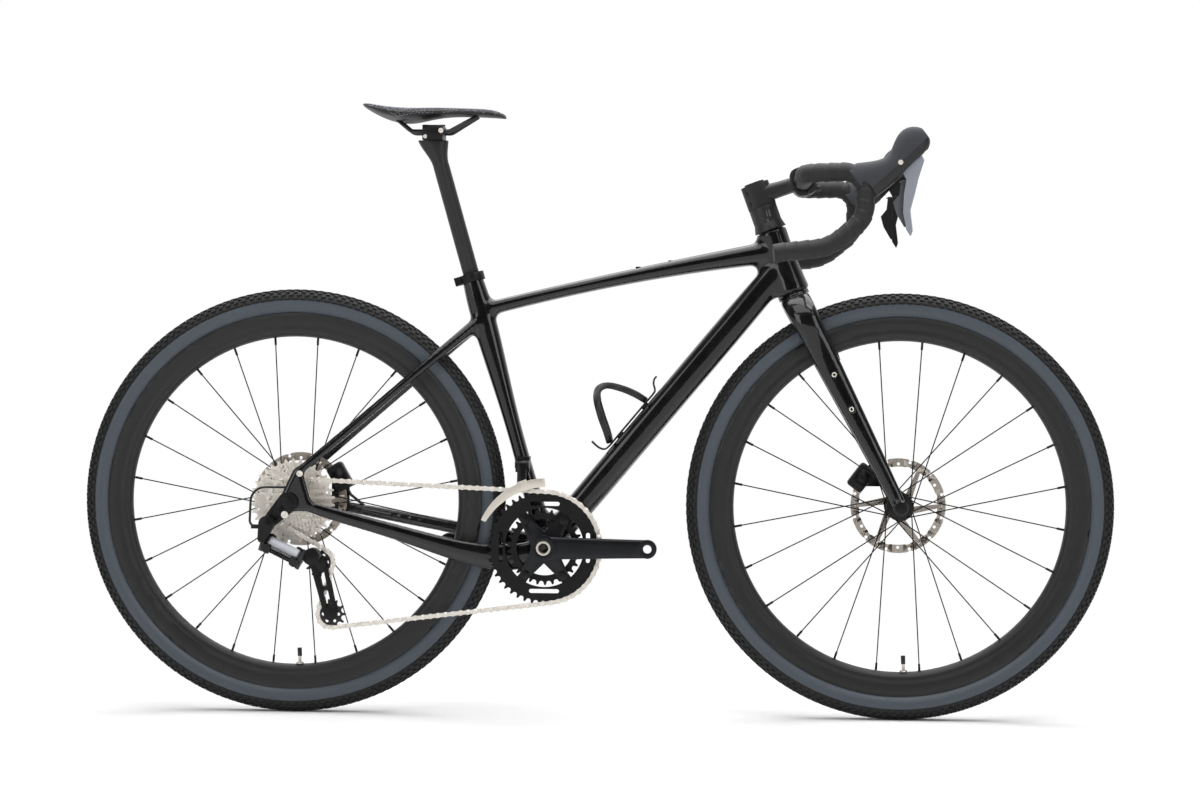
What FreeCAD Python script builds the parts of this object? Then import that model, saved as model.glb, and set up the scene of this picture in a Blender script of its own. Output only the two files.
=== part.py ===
import FreeCAD, Part
import math
import os

# A gravel bicycle at its real size, in millimetres: +X forward, +Y to the rider's left, +Z up.
# The origin is on the ground, halfway between the two axles.

Vector = FreeCAD.Vector
x_axis = Vector(1, 0, 0)
y_axis = Vector(0, 1, 0)
z_axis = Vector(0, 0, 1)

# Stance
wheel_radius = 357.0
wheelbase = 1018.0
chainstay_reach = 426.5
bb_drop = 72.0
head_angle = 70.0
seat_angle = 74.0
fork_length = 396.0
fork_rake = 48.0

# Clearances that several pieces share
cut_overrun = 5.0
fit_gap = 0.05
running_gap = 0.3
oval_points = 16

# Squareness of the hollow sections: 2 is an ellipse, more is boxier
head_squareness = 2.2
top_tube_squareness = 2.6
down_tube_squareness = 3.0
seat_tube_squareness = 2.2
chainstay_squareness = 2.4
seatstay_squareness = 2.3
crank_squareness = 3.6
post_head_squareness = 2.2
saddle_squareness = 2.4
fork_squareness = 2.2
stem_squareness = 3.0
stem_clamp_squareness = 3.2
hood_squareness = 2.3

# Head tube and headset
head_tube_length = 112.0
head_upper_half = 26.0
head_upper_side = 25.0
head_lower_half = 30.0
head_lower_side = 29.5
head_waist_share = 0.93
head_bore_radius = 19.8
upper_bearing_radius = 20.9
lower_bearing_radius = 26.0
bearing_height = 7.0
steerer_radius = 14.3
steerer_base_radius = 18.4
steerer_taper_length = 70.0
crown_gap = 0.8

# Top tube, from the head tube to the seat tube
top_tube_drop = 37.0
top_tube_seat_height = 411.0
top_tube_half = 12.0
top_tube_side = 18.0
top_tube_bow = 7.0
top_tube_shares = [(0.0, 1.66, 1.2), (0.12, 1.45, 1.14), (0.45, 1.05, 1.0), (0.85, 0.96, 0.9),
                   (1.0, 1.0, 0.8)]

# Down tube, from the head tube to the bottom bracket
down_tube_rise = 50.0
down_tube_half = 24.0
down_tube_side = 26.0
down_tube_shares = [(0.0, 0.9, 0.84), (0.12, 0.98, 0.92), (0.5, 1.0, 1.0), (0.88, 0.98, 1.1),
                    (1.0, 0.9, 1.12)]

# Seat tube, from the bottom bracket up
seat_tube_length = 470.0
seat_tube_half = 17.0
seat_tube_shares = [(0.0, 1.15, 1.4), (0.22, 0.86, 1.05), (0.46, 0.8, 0.96), (0.64, 1.0, 1.0),
                    (1.0, 1.0, 1.0)]
seatpost_radius = 13.6
seatpost_bore_share = 0.67

# Bottom bracket
bb_shell_width = 68.0
bb_shell_radius = 25.0
bb_bore_radius = 17.4
bb_cup_radius = 22.0
bb_cup_width = 10.0
crank_axle_radius = 12.0
crank_axle_bore = 8.5

# Stays and rear dropouts
rear_spacing = 142.0
dropout_thickness = 8.0
dropout_axle_radius = 17.0
chainstay_half = 22.0
chainstay_side = 9.0
chainstay_drop = 33.0
chainstay_side_shares = [0.4, 0.46, 0.6, 0.8, 0.985]
chainstay_run_shares = [0.041, 0.21, 0.4115, 0.688, 0.93]
chainstay_drop_shares = [0.4, 1.0, 0.87, 0.41, 0.0]
chainstay_right_shares = [1.0, 1.0, 0.77, 0.57, 0.45]
chainstay_left_shares = [0.8, 0.6, 0.53, 0.48, 0.45]
chainstay_width_shares = [1.0, 0.72, 0.83, 0.78, 0.5]
seatstay_half = 8.5
seatstay_side = 7.0
seatstay_start_height = 398.0
seatstay_end_rise = 50.0
seatstay_end_lead = 15.0
seatstay_run_shares = [0.0, 0.13, 0.24, 0.53, 0.83, 1.0]
seatstay_side_shares = [0.11, 0.3, 0.49, 0.66, 0.86, 0.985]
seatstay_up_shares = [1.3, 1.1, 1.0, 0.92, 0.9, 0.95]
seatstay_width_shares = [1.25, 1.4, 1.0, 0.93, 0.85, 0.62]
stay_end_radius = 9.0
axle_radius = 6.0
axle_head_radius = 10.0
axle_head_height = 5.0
axle_cap_radius = 10.0
axle_cap_height = 1.6
axle_socket_radius = 3.0

# Seat clamp
clamp_height = 14.0
clamp_wall = 4.0
clamp_ear_length = 9.0
clamp_ear_width = 16.0
clamp_slot = 2.0
clamp_bolt_radius = 2.5
clamp_lap_share = 0.6

# Fork
fork_half = 25.0
fork_side = 13.5
fork_crown_depth = 12.0
fork_dropout_radius = 13.0
fork_dropout_thickness = 12.0
front_spacing = 100.0
fork_bottom_y = 56.0
fork_w_shares = [0.038, 0.042, 0.083, 0.19, 0.505, 0.86, 1.0]
fork_u_shares = [0.0, 0.01, 0.06, 0.17, 0.5, 0.87, 1.0]
fork_y_shares = [0.0, 0.36, 0.64, 0.74, 0.8, 0.945, 1.0]
fork_thick_shares = [1.0, 1.0, 0.9, 0.85, 0.74, 0.53, 0.42]
fork_foreaft_shares = [1.0, 1.0, 0.96, 0.88, 0.7, 0.5, 0.44]
crown_race_radius = 26.4
crown_race_height = 7.0
insert_spacing = 64.0
insert_start = 119.0
insert_count = 3
insert_radius = 4.2
insert_bore_radius = 2.1
insert_length = 9.0
insert_proud = 0.8

# Rims and tyres, section sizes across the wheel
rim_outer_radius = 317.0
rim_inner_radius = 277.0
rim_half_width = 14.6
rim_flange_inner = 12.0
bead_seat_radius = 311.0
bead_width = 3.0
tyre_half_width = 22.5
tyre_wall = 3.2
tread_edge_radius = 337.0
tread_step = 0.7
tyre_bulge_angle = -25.0
rim_bed_depth = 3.0
rim_bed_share = 0.4
rim_side_shares = [(0.6, 0.1), (0.85, 0.4), (1.0, 0.72), (0.98, 1.0)]
valve_angle = -88.0
valve_radius = 2.8
valve_cap_radius = 3.8
valve_length = 27.0
valve_cap_length = 14.0
valve_nut_radius = 6.5
valve_nut_height = 3.0

# Hubs and spokes
hub_bore_radius = 6.1
front_flange_left = 17.0
front_flange_right = -29.0
rear_flange_left = 34.0
rear_flange_right = -19.5
flange_radius = 23.0
flange_thickness = 4.0
flange_hole_inset = 2.0
hub_shell_radius = 13.0
hub_end_radius = 9.5
hub_end_length = 6.0
rotor_seat_radius = 17.0
rotor_shoulder_radius = 19.5
spoke_radius = 1.0
spoke_flange_gap = 0.55
spokes_per_flange = 12
spoke_cross_angle = 60.0
nipple_radius = 2.0
nipple_length = 12.0
rim_hole_offset = 1.6

# Disc brakes
rotor_radius = 80.0
rotor_band = 14.0
rotor_thickness = 1.8
rotor_carrier_radius = 24.0
rotor_inset = 15.3
rotor_arms = 6
rotor_arm_sweep = 24.0
rotor_arm_radius = 3.2
rotor_hole_radius = 2.6
rotor_hole_count = 24
rotor_hole_shares = [0.32, 0.68]
rotor_scallops = 12
rotor_scallop_radius = 7.0
rotor_scallop_depth = 1.6
lockring_radius = 21.0
lockring_thickness = 3.0
caliper_half_width = 13.0
caliper_length = 46.0
caliper_depth = 30.0
caliper_slot = 9.0
caliper_edge = 6.0
caliper_reach = 17.0
piston_cap_radius = 11.0
piston_share = 0.45
piston_cap_height = 1.5
pad_length = 24.0
pad_depth = 14.0
pad_gap = 0.5
rear_caliper_angle = 30.0
front_caliper_angle = 143.0
hose_radius = 2.5
hose_run = 13.0
hose_bend = 9.0
hose_inset = 4.0
hose_end_share = 0.86
rear_hose_lead = 34.0
front_hose_rise = 34.0
caliper_foot_drop = 60.0
caliper_foot_half = 15.0
caliper_foot_lead = 40.0

# Chain, chainrings and cassette
chain_pitch = 12.7
link_search_low = 0.98
link_search_high = 1.08
link_search_steps = 40
cage_search_steps = 34
chain_line = 50.5
roller_radius = 3.85
roller_width = 2.2
pin_radius = 1.75
plate_radius = 4.2
plate_waist = 3.1
inner_plate_thickness = 0.75
outer_plate_thickness = 0.8
big_ring_teeth = 46
small_ring_teeth = 30
ring_spacing = 7.0
ring_thickness = 2.0
tooth_seat_gap = 0.15
tooth_height = 2.9
tooth_tip_half = 0.9
big_bolt_circle = 55.0
small_bolt_circle = 40.0
ring_boss_radius = 9.0
big_ring_opening = 66.0
big_window_length = 44.0
big_window_radius = 3.4
big_window_place = 76.0
small_ring_opening = 47.0
ring_bolt_radius = 4.0
ring_bolt_head_radius = 6.5
ring_bolt_head = 2.0
spider_angle = 55.0
spider_half = 8.5
spider_root_radius = 19.0
small_tab_radius = 5.5
small_bolt_radius = 2.5
small_bolt_head = 4.5
spider_thickness = 5.5
cassette_teeth = [11, 13, 15, 17, 19, 21, 23, 25, 27, 30, 34]
cassette_pitch = 3.75
cassette_gear = 4
sprocket_thickness = 1.6
freehub_radius = 17.2
freehub_bore_radius = 8.0
sprocket_collar = 4.0
sprocket_hole_radius = 3.0
sprocket_hole_count = 12
sprocket_hole_min = 48.0
freehub_length = 43.0
cassette_lockring_radius = 15.5
cassette_lockring_width = 2.0

# Cranks
crank_length = 172.5
crank_half_height = 17.0
crank_arm_shares = [(-0.02, 1.15, 1.0), (0.14, 1.1, 1.0), (0.5, 1.0, 0.96), (0.86, 0.92, 0.94),
                    (1.0, 0.9, 0.92)]
crank_cap = 2.0
crank_inner_face = 61.0
crank_boss_radius = 21.0
pedal_boss_radius = 15.5
pedal_hole_radius = 7.14
crank_offset = 75.5
left_clamp_slot = 2.0
left_clamp_bolt_radius = 3.0
left_clamp_length = 22.0
left_clamp_lead = 16.0
left_clamp_inset = 5.0

# Rear derailleur and hanger
hanger_back = 33.0
hanger_down = 35.0
hanger_thickness = 7.0
hanger_end_radius = 11.0
hanger_screw_radius = 3.6
hanger_screw_head = 1.6
b_bolt_radius = 5.0
b_knuckle_radius = 13.0
b_knuckle_width = 15.0
link_length = 50.0
link_slope = 26.0
link_slant = 40.0
link_half_width = 8.5
link_half_thickness = 5.0
link_spacing = 14.0
link_out_angle = 18.0
link_in_angle = 27.0
link_pin_radius = 2.0
ear_thickness = 3.5
ear_radius = 6.5
yoke_wall = 7.0
link_drop = 30.0
link_lead = 4.0
link_y = 84.0
p_knuckle_radius = 14.0
p_knuckle_lead = 24.0
p_knuckle_drop = 3.0
p_pivot_radius = 5.0
p_pivot_depth = 12.0
p_knuckle_outer = 86.0
guide_lead = 10.0
guide_drop = 11.0
cage_length = 89.0
cage_angle = 12.0
cage_swing = 30.0
cage_half_gap = 4.2
cage_thickness = 1.6
cage_upper_radius = 12.0
cage_lower_radius = 11.0
cage_window_radius = 4.0
cage_window_shares = [(0.2, 0.42), (0.58, 0.8)]
jockey_teeth = 11
jockey_bolt_radius = 2.5
jockey_thickness = 1.8
jockey_seat_gap = 0.4
jockey_hub_half = 3.9
jockey_hub_radius = 7.0
jockey_hole_radius = 2.6
jockey_hole_count = 6
adjuster_radius = 3.6
adjuster_length = 13.0
adjuster_drop = 5.0
cable_radius = 2.0
cable_exit_rise = 25.0
cable_exit_lead = 4.0
cable_loop_back = 62.0
cable_loop_radius = 24.0
cable_end_y = -93.0
cable_low_radius = 11.0

# Front derailleur
fd_height = 143.0
fd_pivot_y = 37.0
fd_pin_radius = 2.5
fd_arm_radius = 6.5
fd_arm_width = 15.0
fd_ear_thickness = 4.0
fd_block_half = 13.0
fd_cage_inner = 101.0
fd_cage_outer = 115.0
fd_cage_front_angle = 90.0
fd_cage_rear_angle = 157.0
fd_cage_half_gap = 5.0
fd_plate_thickness = 1.4
fd_tail_radius = 2.0
fd_tail_share = 0.55

# Bottle cage
bottle_radius = 36.8
bottle_stand_off = 5.0
cage_band = 2.6
cage_spine_length = 118.0
cage_spine_width = 20.0
cage_spine_start = 196.0
cage_bolt_spacing = 64.0
cage_bolt_radius = 2.5
cage_bolt_head = 4.5
cage_bolt_head_height = 3.0
cage_loop_length = 104.0
cage_loop_lean = 48.0
cage_loop_width = 13.0
cage_lip_length = 26.0
cage_foot_length = 30.0

# Frame bolts
top_bolt_shares = [0.36, 0.47]
frame_bolt_head = 4.5
frame_bolt_head_height = 2.2
frame_bolt_length = 6.0
under_bolt_run = 66.0

# Seatpost and saddle clamp
seatpost_insert = 120.0
rail_height = 980.0
seatpost_head_drop = 14.0
seatpost_head_half = 25.0
seatpost_head_side = 15.5
seatpost_head_taper = 46.0
seatpost_head_shares = [(0.45, 0.66, 0.9), (1.0, 1.0, 1.0), (1.3, 1.06, 1.0)]
rail_spacing = 44.0
rail_radius = 3.5
cradle_half_length = 17.0
cradle_side = 30.0
clamp_top_thickness = 7.0
post_bolt_radius = 2.5
post_bolt_head = 4.5
post_bolt_spacing = 14.0
post_bolt_depth = 8.0

# Saddle
saddle_length = 243.0
saddle_half_width = 70.0
saddle_rear = -397.6
saddle_top = 1021.0
saddle_thickness = 16.0
saddle_run_shares = [0.0, 0.03, 0.12, 0.28, 0.42, 0.58, 0.78, 0.94, 1.0]
saddle_width_shares = [0.42, 0.62, 0.93, 1.0, 0.82, 0.5, 0.33, 0.27, 0.16]
saddle_lift_shares = [0.42, 0.4, 0.18, -0.06, -0.06, 0.0, -0.06, -0.38, -0.92]
saddle_depth_shares = [0.3, 0.6, 1.1, 1.55, 1.35, 1.05, 0.95, 0.75, 0.3]
rail_front_lead = 46.0
rail_rear_lead = 24.0
rail_front_rise = 27.0
rail_rear_rise = 20.0
rail_bend = 14.0
rail_straight_rear = -314.0
rail_straight_front = -250.0
rail_nose_half = 9.0

# Spacers, stem and handlebar
cover_radius = 27.0
cover_height = 13.0
spacer_radius = 23.5
spacer_height = 7.0
spacer_count = 4
stem_height = 40.0
stem_length = 78.0
stem_rear = 24.0
stem_side = 18.0
bar_rise = 17.0
bar_clamp_radius = 15.9
stem_clamp_radius = 24.0
stem_clamp_side = 23.0
stem_neck_half = 13.0
faceplate_gap = 1.6
stem_bolt_radius = 2.5
stem_bolt_head = 4.0
stem_bolt_head_height = 4.0
stem_bolt_spacing = 24.0
top_cap_radius = 17.0
top_cap_height = 3.0
stem_cap_depth = 3.0
stem_bolt_rise = 19.5
stem_clamp_half = 20.0
stem_rear_bolt_shares = [0.25, 0.72]
bar_radius = 12.0
tape_radius = 16.0
bar_clamp_half = 32.0
bar_taper_end = 62.0
tape_start = 86.0
bar_half_width = 207.0
bar_reach = 98.0
bar_drop = 130.0
bar_flare = 30.0
bar_end_back = 50.0
bar_route_shares = [(0.0, 1.0, 0.0), (1.0, 1.04, 0.02), (0.96, 1.07, -0.57), (0.4, 1.1, -0.92)]
bar_corner_radius = 42.0
bar_top_radius = 34.0
bar_front_radius = 45.0
bar_low_radius = 80.0
plug_radius = 15.0
plug_thickness = 4.0

# Hoods and levers, points in shares of the hood's reach and height
hood_reach = 195.0
hood_height = 73.0
hood_side = 17.0
hood_x_shares = [0.428, 0.52, 0.623, 0.736, 0.845, 0.94, 0.975]
hood_z_shares = [-0.22, -0.13, -0.02, 0.2, 0.6, 0.79, 0.86]
hood_lean_shares = [(0.64, -0.77), (0.52, -0.85), (0.5, -0.87), (0.56, -0.83), (0.58, -0.81), (0.6, -0.8),
                    (0.6, -0.8)]
hood_half_shares = [0.5, 0.4, 0.32, 0.26, 0.34, 0.27, 0.14]
hood_side_shares = [1.0, 1.0, 0.97, 0.94, 0.88, 0.66, 0.35]
lever_pivot_x_share = 0.77
lever_pivot_z_share = 0.22
lever_length = 135.0
lever_thickness = 8.0
lever_pin_radius = 2.6
lever_boss_radius = 7.0
lever_slot = 9.0
pocket_width = 8.0
paddle_thickness = 5.0
paddle_gap = 0.6
lever_outline_shares = [(-0.052, 0.03), (0.074, 0.111), (0.237, 0.126), (0.286, 0.033), (0.218, -0.183),
                        (0.183, -0.341), (0.126, -0.563), (0.156, -0.8), (0.133, -0.867), (0.081, -0.785),
                        (0.037, -0.593), (0.044, -0.37), (0.074, -0.193), (0.0, -0.06), (-0.052, -0.03)]
paddle_outline_shares = [(0.104, -0.222), (0.015, -0.222), (0.0, -0.37), (-0.074, -0.459), (-0.037, -0.593),
                         (0.059, -0.756), (0.104, -0.741), (0.074, -0.578), (0.089, -0.385)]
paddle_knuckle_radius = 3.0
paddle_pin_radius = 1.2
paddle_ear_thickness = 3.0

# Points that the pieces share
head_slope = math.radians(head_angle)
seat_slope = math.radians(seat_angle)
rear_axle = Vector(-wheelbase / 2, 0, wheel_radius)
front_axle = Vector(wheelbase / 2, 0, wheel_radius)
bb = Vector(rear_axle.x + chainstay_reach, 0, wheel_radius - bb_drop)
steer_up = Vector(-math.cos(head_slope), 0, math.sin(head_slope))
steer_forward = Vector(math.sin(head_slope), 0, math.cos(head_slope))
crown = front_axle + steer_up * fork_length - steer_forward * fork_rake
head_top = crown + steer_up * head_tube_length
seat_up = Vector(-math.cos(seat_slope), 0, math.sin(seat_slope))
seat_forward = Vector(math.sin(seat_slope), 0, math.cos(seat_slope))
dropout_face = rear_spacing / 2
dropout_mid = dropout_face + dropout_thickness / 2
spacer_top = head_tube_length + crown_gap + cover_height + spacer_height * spacer_count
stem_top = spacer_top + stem_height
bar_center = crown + steer_up * (spacer_top + bar_rise) + steer_forward * stem_length


def unit(v):
    return v * (1.0 / v.Length)


def blend(a, b, share):
    return a + (b - a) * share


def main_solid(shape):
    return max(shape.Solids, key=lambda solid: solid.Volume)


def cut(shape, *tools):
    return main_solid(shape.cut(list(tools)))


def fuse(shape, *others):
    return main_solid(shape.multiFuse(list(others)).removeSplitter())


def mirrored(shape):
    return shape.mirror(Vector(0, 0, 0), y_axis)


def rod(start, end, radius):
    return Part.makeCylinder(radius, (end - start).Length, start, end - start)


def tube_ring(start, end, outer, inner):
    return cut(rod(start, end, outer), rod(start, end, inner))


def across(x, z, y0, y1, radius):
    return rod(Vector(x, y0, z), Vector(x, y1, z), radius)


def section(center, up, side, half_up, half_side, power):
    points = []
    for i in range(oval_points):
        turn = 2 * math.pi * i / oval_points
        c = math.cos(turn)
        s = math.sin(turn)
        reach_side = half_side * math.copysign(abs(c) ** (2 / power), c)
        reach_up = half_up * math.copysign(abs(s) ** (2 / power), s)
        points.append(center + side * reach_side + up * reach_up)
    curve = Part.BSplineCurve()
    curve.interpolate(points, PeriodicFlag=True)
    return Part.Wire([curve.toShape()])


def tube(stations, power, reference=y_axis):
    wires = []
    for i, (center, half_up, half_side) in enumerate(stations):
        before = stations[max(i - 1, 0)][0]
        after = stations[min(i + 1, len(stations) - 1)][0]
        tangent = unit(after - before)
        side = unit(reference - tangent * reference.dot(tangent))
        wires.append(section(center, side.cross(tangent), side, half_up, half_side, power))
    return Part.makeLoft(wires, True, False)


def route(points, radii):
    edges = []
    here = points[0]
    for before, corner, after, radius in zip(points[:-2], points[1:-1], points[2:], radii):
        inward = unit(corner - before)
        outward = unit(after - corner)
        half_turn = inward.getAngle(outward) / 2
        setback = radius * math.tan(half_turn)
        start = corner - inward * setback
        end = corner + outward * setback
        bisector = unit(outward - inward)
        middle = corner + bisector * (radius / math.cos(half_turn) - radius)
        edges.append(Part.LineSegment(here, start).toShape())
        edges.append(Part.Arc(start, middle, end).toShape())
        here = end
    edges.append(Part.LineSegment(here, points[-1]).toShape())
    return Part.Wire(edges)


def pipe(wire, radius):
    first = wire.Edges[0]
    start = first.valueAt(first.FirstParameter)
    direction = first.tangentAt(first.FirstParameter)
    profile = Part.Wire([Part.Circle(start, direction, radius).toShape()])
    return wire.makePipeShell([profile], True, False)


def outline(start, steps):
    edges = []
    here = start
    for step in steps:
        if isinstance(step, tuple):
            edges.append(Part.Arc(here, step[0], step[1]).toShape())
            here = step[1]
        elif (step - here).Length > fit_gap / 10:
            edges.append(Part.LineSegment(here, step).toShape())
            here = step
    if (here - start).Length > fit_gap / 10:
        edges.append(Part.LineSegment(here, start).toShape())
    return Part.Wire(edges)


def lathe(center, points):
    placed = [tuple(place(center, p) for p in step) if isinstance(step[0], tuple) else place(center, step)
              for step in points]
    face = Part.Face(outline(placed[0], placed[1:]))
    return main_solid(face.revolve(center, y_axis, 360))


def place(center, pair):
    return center + y_axis * pair[0] + z_axis * pair[1]


def polar(center, radius, angle):
    return Vector(center.x + radius * math.cos(angle), center.y, center.z + radius * math.sin(angle))


def belt_tangent(c1, r1, c2, r2):
    dx = c2[0] - c1[0]
    dz = c2[1] - c1[1]
    normal = math.atan2(dz, dx) - math.acos((r1 - r2) / math.hypot(dx, dz))
    nx = math.cos(normal)
    nz = math.sin(normal)
    return (c1[0] + r1 * nx, c1[1] + r1 * nz), (c2[0] + r2 * nx, c2[1] + r2 * nz)


def flat(pair, y):
    return Vector(pair[0], y, pair[1])


def hull_plate(circles, y0, y1):
    spans = []
    for i, (x, z, r) in enumerate(circles):
        nx, nz, nr = circles[(i + 1) % len(circles)]
        spans.append(belt_tangent((x, z), r, (nx, nz), nr))
    edges = []
    for i, (x, z, r) in enumerate(circles):
        arrive = spans[i - 1][1]
        leave = spans[i][0]
        first = math.atan2(arrive[1] - z, arrive[0] - x)
        sweep = (math.atan2(leave[1] - z, leave[0] - x) - first) % (2 * math.pi)
        middle = (x + r * math.cos(first + sweep / 2), z + r * math.sin(first + sweep / 2))
        edges.append(Part.Arc(flat(arrive, y0), flat(middle, y0), flat(leave, y0)).toShape())
        edges.append(Part.LineSegment(flat(leave, y0), flat(spans[i][1], y0)).toShape())
    return main_solid(Part.Face(Part.Wire(edges)).extrude(y_axis * (y1 - y0)))


def prism(points, y0, y1):
    corners = [flat(p, y0) for p in points]
    face = Part.Face(Part.makePolygon(corners + corners[:1]))
    return main_solid(face.extrude(y_axis * (y1 - y0)))


def local_box(origin, ex, ey, ez, low, high):
    corners = [origin + ex * a + ey * b + ez * low[2]
               for a, b in ((low[0], low[1]), (high[0], low[1]), (high[0], high[1]), (low[0], high[1]))]
    face = Part.Face(Part.makePolygon(corners + corners[:1]))
    return main_solid(face.extrude(ez * (high[2] - low[2])))


# Frame tubes, as full outlines that the neighbours are cut against
def head_outline():
    stations = []
    for share in (0, 1 / 2, 1):
        half = blend(head_lower_half, head_upper_half, share)
        side = blend(head_lower_side, head_upper_side, share)
        waist = head_waist_share if share == 1 / 2 else 1
        stations.append((crown + steer_up * (head_tube_length * share), half * waist, side * waist))
    return tube(stations, head_squareness)


def top_tube_outline():
    start = head_top - steer_up * top_tube_drop
    end = bb + seat_up * top_tube_seat_height
    stations = []
    for share, up, side in top_tube_shares:
        center = blend(start, end, share) + z_axis * (top_tube_bow * 4 * share * (1 - share))
        stations.append((center, top_tube_half * up, top_tube_side * side))
    return tube(stations, top_tube_squareness)


def down_tube_point(share):
    return blend(crown + steer_up * down_tube_rise, bb, share)


def down_tube_outline():
    stations = [(down_tube_point(share), down_tube_half * up, down_tube_side * side)
                for share, up, side in down_tube_shares]
    return tube(stations, down_tube_squareness)


def seat_tube_outline():
    stations = [(bb + seat_up * (seat_tube_length * share), seat_tube_half * up, seat_tube_half * side)
                for share, up, side in seat_tube_shares]
    return tube(stations, seat_tube_squareness)


def bb_outline():
    return across(bb.x, bb.z, -bb_shell_width / 2, bb_shell_width / 2, bb_shell_radius)


def dropout(sign, lower):
    seat_end = rear_axle + Vector(seatstay_end_lead, 0, seatstay_end_rise)
    stay_end = blend(bb, rear_axle, chainstay_run_shares[-1])
    circles = [(rear_axle.x, rear_axle.z, dropout_axle_radius),
               (stay_end.x, stay_end.z, lower),
               (seat_end.x, seat_end.z, stay_end_radius)]
    faces = sorted((sign * dropout_face, sign * (dropout_face + dropout_thickness)))
    return hull_plate(circles, faces[0], faces[1])


def chainstay(sign, half_shares, drop):
    stations = []
    for i, run in enumerate(chainstay_run_shares):
        center = blend(bb, rear_axle, run)
        center = center + Vector(0, sign * dropout_mid * chainstay_side_shares[i],
                                 -drop * chainstay_drop_shares[i])
        stations.append((center, chainstay_half * half_shares[i], chainstay_side * chainstay_width_shares[i]))
    return tube(stations, chainstay_squareness)


def seatstay(sign):
    start = bb + seat_up * seatstay_start_height
    end = rear_axle + Vector(seatstay_end_lead, 0, seatstay_end_rise)
    stations = []
    for i, run in enumerate(seatstay_run_shares):
        center = blend(start, end, run) + Vector(0, sign * dropout_mid * seatstay_side_shares[i], 0)
        stations.append((center, seatstay_half * seatstay_up_shares[i],
                         seatstay_side * seatstay_width_shares[i]))
    return tube(stations, seatstay_squareness)


head_body = head_outline()
seat_body = seat_tube_outline()
bb_body = bb_outline()
down_body = down_tube_outline()
axle_hole = across(rear_axle.x, rear_axle.z, -rear_spacing, rear_spacing, axle_radius + fit_gap)


def head_tube():
    low = crown - steer_up * cut_overrun
    high = head_top + steer_up * cut_overrun
    upper_seat = rod(head_top - steer_up * bearing_height, high, upper_bearing_radius + fit_gap)
    lower_seat = rod(low, crown + steer_up * bearing_height, lower_bearing_radius + fit_gap)
    return cut(head_body, rod(low, high, head_bore_radius), upper_seat, lower_seat)


def seat_tube():
    bore = rod(bb + seat_up * (seat_tube_length * seatpost_bore_share),
               bb + seat_up * (seat_tube_length + cut_overrun), seatpost_radius + fit_gap)
    return cut(seat_body, bb_body, bore)


def bb_shell():
    bore = across(bb.x, bb.z, -bb_shell_width, bb_shell_width, bb_bore_radius)
    return cut(bb_body, bore)


def chainstays():
    solids = []
    cup_end = bb_shell_width / 2 + bb_cup_width + cut_overrun
    cups = across(bb.x, bb.z, -cup_end, cup_end, bb_cup_radius + running_gap)
    for sign, shares, drop in ((-1, chainstay_right_shares, chainstay_drop), (1, chainstay_left_shares, 0)):
        lower = chainstay_half * shares[-1]
        whole = fuse(chainstay(sign, shares, drop), dropout(sign, lower))
        solids.append(cut(whole, bb_body, cups, seat_body, down_body, axle_hole))
    return solids


def seatstays(stays):
    solids = []
    top = cut(top_tube_outline(), seat_body)
    half = Part.makeBox(wheelbase, dropout_face + dropout_thickness, wheelbase,
                        Vector(-wheelbase, 0, wheel_radius / 2))
    for sign, stay in zip((-1, 1), stays):
        side = half if sign > 0 else mirrored(half)
        whole = main_solid(seatstay(sign).common(side))
        solids.append(cut(whole, seat_body, top, stay))
    return solids


# Wheels
def tyre(center):
    crown_r = wheel_radius - tyre_half_width
    base_r = rim_outer_radius + running_gap
    wall = tyre_half_width - tread_step
    base_y = math.sqrt(wall ** 2 - (crown_r - base_r) ** 2)
    edge_y = math.sqrt(tyre_half_width ** 2 - (tread_edge_radius - crown_r) ** 2)
    inner = tyre_half_width - tyre_wall
    inner_y = math.sqrt(inner ** 2 - (crown_r - base_r) ** 2)
    low = math.radians(tyre_bulge_angle)
    bulge = (wall * math.cos(low), crown_r + wall * math.sin(low))
    bead_r = bead_seat_radius + running_gap
    bead_y = rim_flange_inner - running_gap
    points = [(inner_y, base_r), (bead_y - bead_width, bead_r), (bead_y, bead_r), (bead_y, base_r),
              (base_y, base_r),
              (bulge, (edge_y - tread_step, tread_edge_radius)), (edge_y, tread_edge_radius),
              ((0, wheel_radius), (-edge_y, tread_edge_radius)), (tread_step - edge_y, tread_edge_radius),
              ((-bulge[0], bulge[1]), (-base_y, base_r)), (-bead_y, base_r), (-bead_y, bead_r),
              (bead_width - bead_y, bead_r), (-inner_y, base_r), ((0, crown_r + inner), (inner_y, base_r))]
    return lathe(center, points)


def rim(center):
    depth = rim_outer_radius - rim_inner_radius
    side = [(rim_half_width * a, rim_inner_radius + depth * b) for a, b in rim_side_shares]
    other = [(-a, b) for a, b in side]
    bed_y = rim_flange_inner * rim_bed_share
    well_r = bead_seat_radius - rim_bed_depth
    points = [(0, rim_inner_radius), (side[0], side[1]), (side[2], side[3]),
              (rim_flange_inner, rim_outer_radius),
              (rim_flange_inner, bead_seat_radius), (bed_y, bead_seat_radius), (bed_y, well_r),
              (-bed_y, well_r),
              (-bed_y, bead_seat_radius), (-rim_flange_inner, bead_seat_radius),
              (-rim_flange_inner, rim_outer_radius), other[3], (other[2], other[1]),
              (other[0], (0, rim_inner_radius))]
    return lathe(center, points)


def valve(center):
    angle = math.radians(valve_angle)
    base = polar(center, rim_inner_radius - fit_gap, angle)
    inward = unit(center - base)
    nut = rod(base, base + inward * valve_nut_height, valve_nut_radius)
    stem = rod(base, base + inward * valve_length, valve_radius)
    cap = rod(base + inward * (valve_length - valve_cap_length), base + inward * valve_length,
              valve_cap_radius)
    return fuse(nut, stem, cap)


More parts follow.
